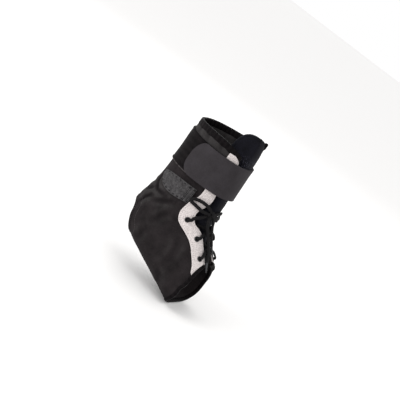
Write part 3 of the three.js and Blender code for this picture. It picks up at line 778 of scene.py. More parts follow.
def rounded_hole(station, turn, radius):
    """A round hole: what is inside it, and its rim of stations and turns."""
    centre = skin(station, turn)
    angle = np.linspace(0, 2 * np.pi, 96, endpoint=False)
    rim = (
        station + radius * stations_per_mm(station, turn) * np.cos(angle),
        turn + radius * turns_per_mm(station, turn) * np.sin(angle),
    )

    def inside(s, t):
        return np.linalg.norm(skin(s, t) - centre, axis=-1) < radius

    return inside, rim


def heel_hole():
    """The opening for the heel, given as a round hole is."""
    def inside(s, t):
        tall = np.abs((HEEL["station"] - s) / HEEL["tall"])
        wide = np.abs((fold(t) % 360 - 180) / HEEL["wide"])
        return tall ** HEEL["square"] + wide ** HEEL["square"] < 1

    return inside, heel_line(720)


def cloth_piece(name, stations, turns, low, high, material, slot, soft, holes=()):
    """A closed sheet of cloth over a grid of stations and turns. Its two faces close in on each
    other at the raw edges, each by a soft share of its thickness."""
    rows, columns = stations.shape
    index = np.arange(rows * columns).reshape(rows, columns)
    s, t = stations.ravel().copy(), turns.ravel().copy()
    uv = flat_uv(stations, turns)
    corners = [index[:-1, :-1], index[1:, :-1], index[1:, 1:], index[:-1, 1:]]
    cells = np.stack([c.ravel() for c in corners], -1)
    for inside, _ in holes:
        cells = cells[~inside(s[cells].mean(1), t[cells].mean(1))]
    edges = np.concatenate([cells[:, [k, (k + 1) % 4]] for k in range(4)])
    _, first, count = np.unique(np.sort(edges, 1), axis=0, return_index=True, return_counts=True)
    border = edges[first[count == 1]]
    rim = np.unique(border)
    row, column = rim // columns, rim % columns
    within = rim[(row > 0) & (row < rows - 1) & (column > 0) & (column < columns - 1)]
    for _, (rim_s, rim_t) in holes:
        ways = skin(s[within], t[within])[:, None] - skin(rim_s, rim_t)
        gaps = np.linalg.norm(ways, axis=-1)
        nearest = gaps.argmin(1)
        close = gaps.min(1) < CUT_REACH
        s[within[close]] = rim_s[nearest[close]]
        t[within[close]] = rim_t[nearest[close]]
    used = np.unique(cells)
    renumber = np.zeros(rows * columns, int)
    renumber[used] = np.arange(len(used))
    cells, border, rim = renumber[cells], renumber[border], renumber[rim]
    s, t, uv = s[used], t[used], uv[used]
    bottom, top = low(s, t), high(s, t)
    ease = (top[rim] - bottom[rim]) * soft
    top[rim] -= ease
    bottom[rim] += ease
    points = np.concatenate([over(s, t, top), over(s, t, bottom)])
    n = len(s)
    sides = np.stack([border[:, 1], border[:, 0], border[:, 0] + n, border[:, 1] + n], -1)
    faces = np.concatenate([cells, cells[:, ::-1] + n, sides])
    return make_piece(name, points, faces, material, slot, np.concatenate([uv, uv]))


def edged(count, inset):
    """Shares from 0 to 1 that lie closer together at both edges."""
    middle = np.linspace(inset * 2, 1 - inset * 2, count)
    return np.concatenate([[0, inset * 0.4, inset], middle, [1 - inset, 1 - inset * 0.4, 1]])


def even(rows, count):
    """Even stations and turns through a few chosen ones."""
    rows = np.array(rows, float)
    share = np.linspace(0, len(rows) - 1, count)
    return tuple(np.interp(share, range(len(rows)), rows[:, k]) for k in (0, 1))


def swell(s, t):
    """How the soft cloth rises and falls a little, the same for every layer."""
    place = skin(s, t)
    x, y, z = place[..., 0], place[..., 1], place[..., 2]
    rise = 0.16 * np.sin(x / 9.5 + z / 13) + 0.14 * np.sin(z / 8.2 - y / 11 + 1.3)
    return rise + 0.1 * np.sin(x / 5.1 - z / 6.3 + y / 7 + 0.4)


def creases(s, t):
    """The dents and the soft ridges beside them, in millimetres."""
    place = skin(s, t)
    total = np.zeros(len(place))
    for points, depth, width in CREASES:
        gaps = np.linalg.norm(place[:, None] - skin(*even(points, CREASE_STEPS)), axis=-1)
        distance = gaps.min(1)
        along_it = np.clip(gaps.argmin(1) / (CREASE_STEPS - 1), 0.04, 0.96)
        fade = np.sin(np.pi * along_it) ** 0.7
        dent = -np.exp(-((distance / width) ** 2))
        ridge = 0.5 * np.exp(-(((distance - 1.9 * width) / width) ** 2))
        total += depth * fade * (dent + ridge)
    return total


def body_top(s, t):
    """The body's outer face, where creases fade out beside the facings."""
    side = np.abs(fold(t))
    clear = np.clip((side - smooth(FACING_BACK, s) - CREASE_CLEARANCE) / CREASE_FADE, 0, 1)
    return WALL + swell(s, t) + creases(s, t) * clear


def on_body(s, t):
    """The underside of what is sewn to the body."""
    return WALL + SEAM + swell(s, t)


def edge_turns(start, shares):
    """Turns from the opening's outer side round behind to its inner side."""
    return -start - (360 - 2 * start) * shares


def body():
    """The laminate cloth round leg, ankle and foot."""
    levels = np.linspace(1.0, 9.92, 150)
    shares = edged(170, 0.004)
    turns = [edge_turns(opening_at(s), shares) for s in (top_edge(0), *levels, toe_edge(0))]
    level_rows = [np.full(len(shares), s) for s in levels]
    rows = [top_line(turns[0]), *level_rows, toe_line(turns[-1])]
    # Rows just inside the top and toe edges follow them to the nearest level station.
    above = [rows[0] + (rows[1] - rows[0]) * share for share in (0.12, 0.3, 0.5, 0.75)]
    below = [rows[-2] + (rows[-1] - rows[-2]) * share for share in (0.35, 0.7, 0.92)]
    rows = [rows[0], *above, *level_rows, *below, rows[-1]]
    turns = turns[:1] * (1 + len(above)) + turns[1:-1] + turns[-1:] * (1 + len(below))
    holes = [heel_hole()]
    for station, turn in EYELETS:
        holes += [rounded_hole(station, t, EYELET_BORE + GAP) for t in (-turn, turn - 360)]
    depths = []

    def low(s, t):
        return swell(s, t) * 0.5

    def high(s, t):
        height = body_top(s, t)
        depths.append(WALL + swell(s, t) - height)
        return height

    piece = cloth_piece(
        "boot_cloth", np.array(rows), np.array(turns), low, high, CLOTH, "cloth", 0.2, holes,
    )
    # The cuff above the strap is brushed, so its nap looks paler. The ridges beside creases get the same
    # paler colour as a painted highlight.
    cuff = np.clip((heights_of(piece) - CUFF_LOW) / CUFF_FADE, 0, 1)
    depth = np.tile(depths[0], 2)
    mark(piece, "nap", np.maximum(cuff, RIDGE_PAINTED_HIGHLIGHT * np.clip(-depth / RIDGE_HEIGHT, 0, 1)))
    # Painted shade: the deeper a crease, the darker its colour.
    mark(piece, "hollow", CREASE_PAINTED_SHADE * np.clip(depth / CREASE_SHADE_DEPTH, 0, 1))
    return piece


def facing_front(stations, side):
    """Turns of a facing's front edge, and how much its rounded top corner takes off."""
    above = np.maximum(0, 1 - (stations - FACING_TOP_STATION) / FACING_CORNER_DEPTH)
    front = opening_at(stations)
    if side > 0:
        front = front + INNER_INSET * np.clip((stations - INNER_INSET_STARTS) / INNER_INSET_RUN, 0, 1)
    return front, FACING_CORNER * above ** 2


def facing(name, side):
    """The pale panel that carries the eyelets, beside the opening."""
    ends = [FACING_TOP_STATION + step for step in (0, 0.006, 0.02, 0.04, 0.065, 0.1, 0.14)]
    stations = np.concatenate([ends, np.linspace(1.0, 9.9, 190), [10.0, 10.1, toe_edge(0)]])[:, None]
    front, corner = facing_front(stations, side)
    start = front + corner
    turns = side * (start + (smooth(FACING_BACK, stations) - start) * edged(22, 0.02))
    rows = np.minimum(stations, toe_line(turns))
    rows[-1] = toe_line(turns[-1])
    holes = [rounded_hole(s, side * t, EYELET_BORE + GAP) for s, t in EYELETS]

    def high(s, t):
        return FACING_TOP + swell(s, t)

    return cloth_piece(name, rows, turns, on_body, high, MESH, "facing", 0.35, holes)


def tongue():
    """The padded tongue, whose rim is rolled and set off by a sewn channel."""
    top, corner = TONGUE_ROWS[0][0], TONGUE_ROWS[4][0]
    stations = np.concatenate([np.linspace(top, corner, 28), np.linspace(0.7, 10.05, 150)])[:, None]
    shares = edged(56, 0.012)
    turns = smooth(TONGUE_ROWS, stations, 2) + smooth(TONGUE_ROWS, stations, 1) * (2 * shares - 1)

    def crown(s, t):
        starts, ends = TONGUE_LIFT
        lift = eased((opening_at(s) - np.abs(t) - starts) / (ends - starts))
        return TONGUE_SIDE + (TONGUE_CROWN - TONGUE_SIDE) * lift

    def puff(s, t):
        return smooth(TONGUE_PUFF, s) * eased((opening_at(s) - np.abs(t)) / PUFF_REACH)

    def edge_distance(s, t):
        half_turn = smooth(TONGUE_ROWS, s, 1)
        from_side = (half_turn - np.abs(t - smooth(TONGUE_ROWS, s, 2))) / turns_per_mm(s, t)
        from_top = (s - top) / stations_per_mm(s, t)
        return np.minimum(from_side, from_top)

    def roll(inside):
        return RIM_ROLL[0] * np.exp(-np.clip(inside, 0, None) / RIM_ROLL[1])

    def face(s, t):
        inside = edge_distance(s, t)
        channel = RIM_CHANNEL[0] * np.exp(-(((inside - RIM_ROW) / RIM_CHANNEL[1]) ** 2))
        ripple = 0.12 * np.sin(s * 9) * np.clip(inside / 8, 0, 1)
        return crown(s, t) + puff(s, t) - channel - roll(inside) + ripple

    def back(s, t):
        return crown(s, t) + puff(s, t) / 2 - TONGUE_THICKNESS + roll(edge_distance(s, t))

    rows = np.repeat(stations, len(shares), 1)
    piece = cloth_piece("tongue_pad", rows, turns, back, face, TONGUE_CLOTH, "tongue", 0.3)
    # The dotted knit begins a little above the strap and ends behind it.
    height = heights_of(piece)
    begins, whole = DOTS_FROM
    mark(piece, "dots", np.clip((begins - height) / (begins - whole), 0, 1) * (height > DOTS_TO))
    return piece, face


def rounded_share(turn, tip, reach, power):
    """How wide a strap still is at a turn near its tip, as a share."""
    inside = np.clip((tip - turn) / -reach, 0, 1)
    return np.maximum(1 - (1 - inside) ** 2, BLUNT_TIP) ** power


def wrap_heights(s, t):
    """The wrap's underside, which dips over the opening and bulges over the padded tongue."""
    side = np.abs(fold(t))
    share = np.minimum(side / (opening_at(s) - WRAP_DIP_INSET), 1)
    near = np.cos(np.minimum(side / WRAP_BULGE_REACH, 1) * np.pi) / 2 + 0.5
    bulge = np.interp(s, (STRAP_TOP, STRAP_BOTTOM), WRAP_BULGE) * near
    return WRAP_BASE - WRAP_DIP * (1 - share ** 2) + bulge


def strap_grid(start, tip, reach, top, bottom, tip_station, steps, shares, end_steps=40, power=0.5):
    """A strap's stations and turns, with its end rounded to a tip."""
    level = np.linspace(start, tip + reach, steps)
    end = tip + reach * np.cos(np.linspace(0, np.pi / 2, end_steps + 1)[1:])
    turn = np.concatenate([level, end])
    share = rounded_share(turn, tip, reach, power)
    middle = (top + bottom) / 2
    centre = middle + (tip_station - middle) * (1 - share)
    stations = centre[:, None] + (bottom - top) * (shares[None] - 0.5) * share[:, None]
    return stations, np.repeat(turn[:, None], len(shares), 1)


def wrap_face(s, t):
    """The wrap's outer face."""
    return wrap_heights(s, t) + WRAP_THICKNESS + swell(s, t)


def wrap_strap():
    """The charcoal end of the wide strap, over the front."""
    middle = (STRAP_TOP + STRAP_BOTTOM) / 2
    stations, turns = strap_grid(
        WRAP_SEWN, WRAP_TIP, WRAP_ROUND, STRAP_TOP, STRAP_BOTTOM, middle, 170, edged(40, 0.012),
    )

    def low(s, t):
        return wrap_heights(s, t) + swell(s, t) - GAP + SEAM

    return cloth_piece("wrap_velour", stations, turns, low, wrap_face, WRAP_CLOTH, "wrap", 0.4)


def strap_band():
    """The black band of the wide strap, round behind, with a raised hem along both sides."""
    shares = edged(34, 0.015)
    turns = np.repeat(np.linspace(*BAND_ENDS, 190)[:, None], len(shares), 1)
    stations = STRAP_TOP + (STRAP_BOTTOM - STRAP_TOP) * np.repeat(shares[None], len(turns), 0)

    def high(s, t):
        edge = np.minimum(s - STRAP_TOP, STRAP_BOTTOM - s) / stations_per_mm(s, t)
        hem = sum(rise * np.exp(-(((edge - place) / width) ** 2)) for rise, place, width in BAND_HEM)
        return BAND_TOP + swell(s, t) + hem - 0.1

    return cloth_piece("elastic_band", stations, turns, on_body, high, BAND_CLOTH, "band", 0.35)


def tab_grid(shares):
    """Stations and turns of the hook tab, at shares of its width."""
    return strap_grid(
        TAB["front"], TAB["tip"], TAB["round"], TAB["top"], TAB["bottom"], TAB["tip_station"], 70,
        shares, 44, TAB_POINT,
    )


def tab_heights(s, t):
    """The hook tab's outer face."""
    edge_rise = np.sin(np.radians(t) * 9) * 0.12
    return LAYER + TAB_THICKNESS + swell(s, t) + edge_rise


def hook_tab():
    """The grey hook tab below the wide strap."""
    stations, turns = tab_grid(edged(30, 0.018))
    return cloth_piece("hook_tab_pile", stations, turns, on_body, tab_heights, HOOKS, "tab", 0.4)


def fan(ring, centre, flip):
    """Closes a ring of even count with quads about its centre."""
    quads = np.array([[ring[k], ring[k - 1], ring[k - 2], centre] for k in range(0, len(ring), 2)])
    return quads[:, ::-1] if flip else quads


def tube_quads(count, sides, closed):
    """Quads between rings of points. An open tube's two end centres follow its rings."""
    index = np.arange(count * sides).reshape(count, sides)
    here, nexts = (index, np.roll(index, -1, 0)) if closed else (index[:-1], index[1:])
    faces = np.stack([here, np.roll(here, -1, 1), np.roll(nexts, -1, 1), nexts], -1).reshape(-1, 4)
    if closed:
        return faces
    return np.concatenate([faces, fan(index[0], index.size, True), fan(index[-1], index.size + 1, False)])


def tape_piece(name, s, t, closed, width, low, high, material, slot):
    """A folded tape along a line on the cloth, with rounded edges and closed ends."""
    base, up = skin(s, t), outward(s, t)
    ahead = np.roll(base, -1, 0) - np.roll(base, 1, 0)
    ease = np.ones(len(s))
    if not closed:
        ahead[0], ahead[-1] = base[1] - base[0], base[-1] - base[-2]
        ease[[0, -1]] = 0.55
        ease[[1, -2]] = 0.9
    across = unit(np.cross(unit(ahead), up))
    angles = np.linspace(0, 2 * np.pi, TAPE_SIDES, endpoint=False)
    wide = rounded(np.cos(angles), 2 / TAPE_SQUARENESS) * width / 2
    tall = rounded(np.sin(angles), 2 / TAPE_SQUARENESS)
    middle, half = (low + high) / 2, (high - low) / 2
    rings = (
        base[:, None] + across[:, None] * (wide * ease[:, None])[..., None]
        + up[:, None] * (middle[:, None] + half[:, None] * tall * ease[:, None])[..., None]
    )
    points = rings.reshape(-1, 3)
    uv = np.stack(np.broadcast_arrays(along(base)[:, None], wide), -1).reshape(-1, 2)
    if not closed:
        points = np.concatenate([points, rings[[0, -1]].mean(1)])
        uv = np.concatenate([uv, uv[[0, -1]]])
    return make_piece(name, points, tube_quads(len(s), TAPE_SIDES, closed), material, slot, uv)


def edge_lines(count):
    """Stations and turns along the top tape and along the toe tape."""
    top, toe = (
        edge_turns(opening_at(edge(0)), np.linspace(0, 1, count)) for edge in (top_edge, toe_edge)
    )
    return (top_line(top), top), (toe_line(toe), toe)


def binding_heights(s, t):
    """A binding's low and high sides, higher where it also covers a facing."""
    over_facing = np.clip((smooth(FACING_BACK, s) + 4 - np.abs(fold(t))) / 8, 0, 1)
    rise = (FACING_THICKNESS + GAP + 0.35) * over_facing * (s > 5)
    return -BINDING_OVERHANG + swell(s, t) * 0.5, WALL + BINDING_OVERHANG + swell(s, t) + rise


def bindings():
    """The tapes over the raw edges. The top one reaches further down on the outside."""
    top, toe = edge_lines(260)
    lines = {
        "top_binding": beside(*top, (BINDING_WIDTH - TOP_TAPE_WIDTH) / 2),
        "toe_binding": toe,
        "heel_binding": heel_line(260),
    }
    pieces = []
    for name, (s, t) in lines.items():
        closed = name == "heel_binding"
        width = TOP_TAPE_WIDTH if name == "top_binding" else BINDING_WIDTH
        pieces.append(
            tape_piece(name + "_tape", s, t, closed, width, *binding_heights(s, t), TAPE, "binding")
        )
        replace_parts(pieces[-1], name)
    return pieces


def curve_through(points, ups):
    """Even points on a centripetal curve through the given ones, and the way up at each."""
    points, ups = np.asarray(points, float), np.asarray(ups, float)
    line, lift = [], []
    count = len(points)
    for i in range(count - 1):
        p1, p2 = points[i], points[i + 1]
        p0 = points[i - 1] if i else 2 * p1 - p2
        p3 = points[i + 2] if i + 2 < count else 2 * p2 - p1
        d = [max(np.linalg.norm(b - a), 1e-4) ** 0.5 for a, b in ((p0, p1), (p1, p2), (p2, p3))]
        m1 = ((p1 - p0) / d[0] - (p2 - p0) / (d[0] + d[1]) + (p2 - p1) / d[1]) * d[1]
        m2 = ((p2 - p1) / d[1] - (p3 - p1) / (d[1] + d[2]) + (p3 - p2) / d[2]) * d[1]
        t = np.linspace(0, 1, 24, endpoint=False)[:, None]
        line.append(
            p1 * (2 * t ** 3 - 3 * t ** 2 + 1) + m1 * (t ** 3 - 2 * t ** 2 + t)
            + p2 * (-2 * t ** 3 + 3 * t ** 2) + m2 * (t ** 3 - t ** 2)
        )
        lift.append(ups[i] * (1 - t) + ups[i + 1] * t)
    line = np.concatenate([*line, points[-1:]])
    lift = np.concatenate([*lift, ups[-1:]])
    length = along(line)
    steps = np.linspace(0, length[-1], max(int(length[-1] / LACE_STEP), 6))
    line, lift = (
        np.stack([np.interp(steps, length, values[:, k]) for k in range(3)], -1) for values in (line, lift)
    )
    return line, unit(lift)


def lace_tube(line, ups, width=LACE_WIDTH):
    """Points, quads and flat places of a flattened braid along a line, closed at its ends."""
    sides = 16
    ahead = unit(np.gradient(line, axis=0))
    across = unit(np.cross(ahead, ups))
    up = np.cross(across, ahead)
    length = along(line)[:, None]
    angles = np.linspace(0, 2 * np.pi, sides, endpoint=False)
    # Plaits lean both ways and cross.
    lean = 2 * np.pi * length / PLAIT_PITCH
    plait = np.maximum(np.sin(PLAITS * angles + lean), np.sin(PLAITS * angles - lean))
    size = 1 + PLAIT_RELIEF * plait
    size[[0, -1]] *= 0.5
    size[[1, -2]] *= 0.9
    wide = width / 2 * rounded(np.cos(angles), 0.8) * size
    tall = LACE_DEPTH / 2 * rounded(np.sin(angles), 0.8) * size
    rings = line[:, None] + across[:, None] * wide[..., None] + up[:, None] * tall[..., None]
    points = np.concatenate([rings.reshape(-1, 3), line[:1], line[-1:]])
    girth = (width + LACE_DEPTH) * 1.4
    uv = np.stack(np.broadcast_arrays(angles / (2 * np.pi) * girth, length), -1).reshape(-1, 2)
    uv = np.concatenate([uv, [[0, 0], [0, length[-1, 0]]]])
    return points, tube_quads(len(line), sides, False), uv


def on_skin(rows):
    """Points of a route over the skin, and the way up at each."""
    rows = np.array(rows, float)
    return over(rows[:, 0], rows[:, 1], rows[:, 2]), outward(rows[:, 0], rows[:, 1])


def lace_piece(name, rows):
    """A stretch of lace and the line that it follows, in millimetres."""
    line, ups = curve_through(*on_skin(rows))
    points, faces, uv = lace_tube(line, ups)
    return make_piece(name, points, faces, BRAID, "lace", uv), line


def free_lace(name, rows, node):
    """A free stretch of lace: a loop of the bow, or a hanging end with its hard tip."""
    piece, line = lace_piece(name, rows)
    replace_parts(piece, node)
    float(along(line)[-1]) * MM


def lace_side(side, starts_high):
    """One side of the held lace, out through each eyelet and over the tongue to the next."""
    rows = []
    at, high = side, starts_high
    for i, (station, turn) in enumerate(EYELETS):
        edge = float(opening_at(station))
        rows.append((station, at * (turn + edge) * 0.5, UNDER))
        rows.append((station, at * (turn + UNDER_EYELET[0]), UNDER_EYELET[1]))
        rows.append((station, at * turn, GAP))
        rows.append((station, at * turn, FACING_TOP + GAP))
        rows.append((station + OUT_OF_EYELET[0], at * (turn + OUT_OF_EYELET[1]), OUT_OF_EYELET[2]))
        rows.append((station + BESIDE_EYELET[0], at * (turn + BESIDE_EYELET[1]), OVER_EYELET))
        if i + 1 < len(EYELETS):
            further = EYELETS[i + 1][0]
            middle = (station + further) / 2
            leave = station + (middle - station) * LEAVES_FACING[0]
            enter = middle + (further - middle) * ENTERS_FACING[0]
            rows.append((leave, at * (float(opening_at(leave)) + LEAVES_FACING[1]), OVER))
            rows.append((middle, 0, CROSS_HIGH if high else CROSS_LOW))
            turn_in = float(opening_at(enter))
            rows.append((enter + REACHES_FACING[0], -at * (turn_in + REACHES_FACING[1]), REACHES_FACING[2]))
            rows.append((enter, -at * (turn_in + ENTERS_FACING[1]), UNDER))
            at, high = -at, not high
    return rows, at


def held_lace_rows():
    """The held lace, from the knot down one side, across the bottom and up the other."""
    outer, outer_end = lace_side(-1, True)
    inner, inner_end = lace_side(1, False)
    bottom = EYELETS[0][0]
    edge = float(opening_at(bottom))
    rise = edge - BAR_RISE[0]
    bar = [
        (bottom, -edge, UNDER), (bottom, -rise, BAR_RISE[1]), (bottom, 0, CROSS_LOW),
        (bottom, rise, BAR_RISE[1]), (bottom, edge, UNDER),
    ]
    ways = {-1: OUTER_TO_KNOT, 1: INNER_TO_KNOT}
    return [*ways[outer_end][::-1], *outer[::-1], *bar, *inner, *ways[inner_end]]


def knot():
    """The middle of the bow: a wrap over the strands that run into it."""
    station, turn, height = KNOT_PLACE
    centre = over(station, turn, height)
    up = outward(station, turn)
    around = unit(skin(station, turn + 1) - skin(station, turn - 1))
    down = np.cross(around, up)
    wrap, wrap_up = [], []
    for a in np.linspace(0, 2 * np.pi, 8, endpoint=False):
        side, rise, fall = 0.9 * np.sin(a), 2.2 * np.cos(a), 3.0 * np.sin(a)
        wrap.append(centre + around * side + up * rise + down * fall)
        wrap_up.append(unit(np.cos(a) * up + np.sin(a) * down))
    strands = [(wrap[-2:] + wrap + wrap[:2], wrap_up[-2:] + wrap_up + wrap_up[:2])]
    for row in (
        LOOP_OUTER[0], LOOP_OUTER[-1], LOOP_INNER[0], LOOP_INNER[-1], END_FRONT[0], END_INNER[0],
        OUTER_TO_KNOT[-1], INNER_TO_KNOT[-1],
    ):
        far = over(*row)
        way = far - centre
        points = [centre + way * 0.18 - up * 0.4, centre + way * 0.55 + up * 0.3, far + unit(way) * 0.3]
        strands.append((points, [up, up, outward(*row[:2])]))
    tubes = [lace_tube(*curve_through(*strand), LACE_WIDTH * 0.92) for strand in strands]
    points, faces, uvs = zip(*tubes)
    starts = np.cumsum([0] + [len(tube) for tube in points])
    faces = np.concatenate([quads + start for quads, start in zip(faces, starts)])
    return make_piece("bow_knot", np.concatenate(points), faces, BRAID, "lace", np.concatenate(uvs))


def turned(name, profile, centre, axis, material, slot, sides=40):
    """A lathe-turned ring or plug about an axis. The profile is a closed loop of radius, height."""
    side = unit(np.cross(axis, [0.3, 0.7, 0.64]))
    other = np.cross(axis, side)
    angles = np.linspace(0, 2 * np.pi, sides, endpoint=False)[:, None]
    ring = side * np.cos(angles) + other * np.sin(angles)
    radius, height = np.array(profile, float).T[..., None, None]
    points = (centre + ring * radius + axis * height).reshape(-1, 3)
    return make_piece(name, points, tube_quads(len(profile), sides, True), material, slot)


def eyelet(name, station, turn):
    """A pressed eyelet: a short barrel with its rim rolled over the facing."""
    base = FACING_TOP + float(swell(np.array([station]), np.array([turn]))[0])
    angle = np.linspace(-0.15 * np.pi, np.pi, 14)
    middle, half = (EYELET_BORE + EYELET_RIM) / 2, (EYELET_RIM - EYELET_BORE) / 2
    rim = [(middle + half * math.cos(a), base + 0.05 + 0.85 * max(math.sin(a), 0)) for a in angle]
    barrel, foot = EYELET_BORE + 0.28, base - 0.02
    profile = [(barrel, GAP), (barrel, foot), (EYELET_RIM - 0.3, foot)]
    profile += rim + [(EYELET_BORE, base - 0.6), (EYELET_BORE, GAP)]
    return turned(name, profile, skin(station, turn), outward(station, turn), ENAMEL, "eyelet")


def lace_tip(name, last, tip):
    """The hard end of the lace: a tube of film, crimped at its start and blunt at its tip."""
    start = over(*last)
    way = unit(over(*tip) - start)
    profile = [(0.02, -0.6), (1.3, -0.6), (1.42, -0.1), (1.42, 0.9), (1.22, 1.3), (1.28, 1.9)]
    profile += [(1.15, 6), (1.05, 9.6), (0.8, TIP_LENGTH + 0.1), (0.4, TIP_LENGTH + 0.45)]
    profile += [(0.02, TIP_LENGTH + 0.5), (0.02, 5)]
    return turned(name, profile, start, way, ENAMEL, "tip", 24)


def stitch_tree():
    """Geometry nodes: small rounded stitches at an even pitch along every line."""
    tree = bpy.data.node_groups.new("stitch_rows", "GeometryNodeTree")
    face = tree.interface
    face.new_socket("Lines", in_out="INPUT", socket_type="NodeSocketGeometry")
    for name in ("Pitch", "Stitch Length", "Thread Width", "Thread Height"):
        face.new_socket(name, in_out="INPUT", socket_type="NodeSocketFloat")
    face.new_socket("Thread", in_out="INPUT", socket_type="NodeSocketMaterial")
    face.new_socket("Stitches", in_out="OUTPUT", socket_type="NodeSocketGeometry")
    given = tree.nodes.new("NodeGroupInput").outputs
    curve = add_node(tree, "GeometryNodeMeshToCurve", links={0: given["Lines"]})
    points = add_node(
        tree, "GeometryNodeCurveToPoints", {"mode": "LENGTH"}, {"Curve": curve, "Length": given["Pitch"]},
    )
    ball = add_node(tree, "GeometryNodeMeshUVSphere", {"Segments": 6, "Rings": 4, "Radius": 0.5})
    sizes = add_node(tree, "ShaderNodeCombineXYZ", links={
        0: given["Thread Width"], 1: given["Thread Height"], 2: given["Stitch Length"],
    })
    stitches = add_node(tree, "GeometryNodeInstanceOnPoints", links={
        "Points": points, "Instance": ball, "Rotation": points.node.outputs["Rotation"], "Scale": sizes,
    })
    real = add_node(tree, "GeometryNodeRealizeInstances", links={0: stitches})
    dressed = add_node(
        tree, "GeometryNodeSetMaterial", links={"Geometry": real, "Material": given["Thread"]},
    )
    tree.links.new(dressed, tree.nodes.new("NodeGroupOutput").inputs[0])
    return tree


STITCHES = stitch_tree()


def stitch_rows(name, lines, stitch, material, slot):
    """Stitches along lines of points in millimetres, as one plain mesh."""
    points, edges = [], []
    for line in lines:
        start = len(points)
        points.extend((np.asarray(line) * MM).tolist())
        edges.extend((start + k, start + k + 1) for k in range(len(line) - 1))
    guide_mesh = bpy.data.meshes.new(name + "_guide")
    guide_mesh.from_pydata(points, edges, [])
    guide = add_object(name + "_guide", guide_mesh)
    modifier = guide.modifiers.new("stitches", "NODES")
    modifier.node_group = STITCHES
    sizes = (size * MM for size in stitch)
    wanted = dict(zip(("Pitch", "Stitch Length", "Thread Width", "Thread Height"), sizes))
    wanted["Thread"] = material
    for item in STITCHES.interface.items_tree:
        if item.item_type == "SOCKET" and item.in_out == "INPUT" and item.name in wanted:
            modifier[item.identifier] = wanted[item.name]
    evaluated = guide.evaluated_get(bpy.context.evaluated_depsgraph_get())
    mesh = bpy.data.meshes.new_from_object(evaluated)
    mesh.name = name
    bpy.data.objects.remove(guide)
    add_piece(name, mesh, slot)


def beside(s, t, sideways):
    """Stations and turns of a line moved sideways over the cloth by millimetres."""
    base = skin(s, t)
    ahead = unit(np.gradient(base, axis=0))
    across = np.cross(ahead, outward(s, t))
    down = unit(skin(s + 0.02, t) - skin(s - 0.02, t))
    round_it = unit(skin(s, t + 1) - skin(s, t - 1))
    s2 = s + sideways * np.einsum("ij,ij->i", across, down) * stations_per_mm(s, t)
    t2 = t + sideways * np.einsum("ij,ij->i", across, round_it) * turns_per_mm(s, t)
    return s2, t2


def photo_camera():
    """The camera at the photograph's angle, which leans with the raised foot."""
    azimuth, elevation, roll = (math.radians(a) for a in (VIEW_AZIMUTH, VIEW_ELEVATION, VIEW_ROLL))
    to_camera = Vector((
        math.sin(azimuth) * math.cos(elevation), -math.cos(azimuth) * math.cos(elevation),
        math.sin(elevation),
    ))
    right = Vector((math.cos(azimuth), math.sin(azimuth), 0))
    up = to_camera.cross(right)
    x_axis = right * math.sin(roll) + up * math.cos(roll)
    y_axis = up * math.sin(roll) - right * math.cos(roll)
    data = bpy.data.cameras.new("photo_camera")
    data.lens = VIEW_LENS
    data.sensor_width = SENSOR_WIDTH
    data.shift_x, data.shift_y = VIEW_SHIFT
    camera = add_object("photo_camera", data)
    turn = Matrix((x_axis, y_axis, to_camera)).transposed().to_4x4()
    camera.matrix_world = Matrix.Translation(to_camera * VIEW_DISTANCE) @ turn
    bpy.context.scene.camera = camera
    return x_axis, y_axis, to_camera


def soft_light(name, place, size, power):
    """A round lamp that faces the brace."""
    data = bpy.data.lights.new(name, "AREA")
    data.shape = "DISK"
    data.size = size
    data.energy = power
    light = add_object(name, data)
    light.location = place
    light.rotation_euler = (-place).to_track_quat("-Z", "Y").to_euler()


def studio(x_axis, y_axis, to_camera):
    """A plain pale floor and soft lamps, the larger above the camera's left."""
    for name, (right, up, ahead, size, power) in LAMPS.items():
        soft_light(name, x_axis * right + y_axis * up + to_camera * ahead, size, power)
    world = bpy.data.worlds.new("studio")
    world.use_nodes = True
    world.node_tree.nodes["Background"].inputs[0].default_value = (1, 1, 1, 1)
    world.node_tree.nodes["Background"].inputs[1].default_value = 1.0
    bpy.context.scene.world = world
    bpy.context.scene.view_settings.view_transform = "Standard"
    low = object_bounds()[0][2] - FLOOR_GAP
    mesh = bpy.data.meshes.new("floor")
    corners = [(x * FLOOR_REACH, y * FLOOR_REACH, low) for x, y in ((-1, -1), (1, -1), (1, 1), (-1, 1))]
    mesh.from_pydata(corners, [], [(0, 1, 2, 3)])
    material = new_material("pale_floor")[0]
    mesh.materials.append(finish(material, {"Base Color": linear(0xF7F6F5), "Roughness": 0.9}))
    add_object("floor", mesh)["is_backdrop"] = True


def binding_seams():
    """Sewing along the tapes, and a second row on the cloth round the heel."""

    def on_tape(s, t):
        return over(s, t, binding_heights(s, t)[1] - 0.02)

    top, toe = edge_lines(300)
    ends = [beside(*top, BINDING_WIDTH / 2 - TOP_TAPE_WIDTH + TAPE_ROW), beside(*toe, TAPE_ROW)]
    rows = [on_tape(*end)[SEAM_END:-SEAM_END] for end in ends]
    stitch_rows("end_binding_stitches", rows, TAPE_STITCH, BLACK_THREAD, "binding")
    heel = heel_line(300)
    first, second = (beside(*heel, sideways) for sideways in HEEL_ROWS)
    second = [np.append(values, values[0]) for values in second]
    stitch_rows(
        "binding_stitches", [on_tape(*first), on_tape(*second)], TAPE_STITCH, BODY_THREAD, "binding",
    )
    outside = max(
        (beside(*heel, sideways) for sideways in (HEEL_REINFORCEMENT, -HEEL_REINFORCEMENT)),
        key=lambda row: np.ptp(row[1]),
    )
    rows = [over(*outside, body_top(*outside) + 0.04)]
    stitch_rows("heel_reinforcement_stitches", rows, RIM_STITCH, BODY_THREAD, "cloth")


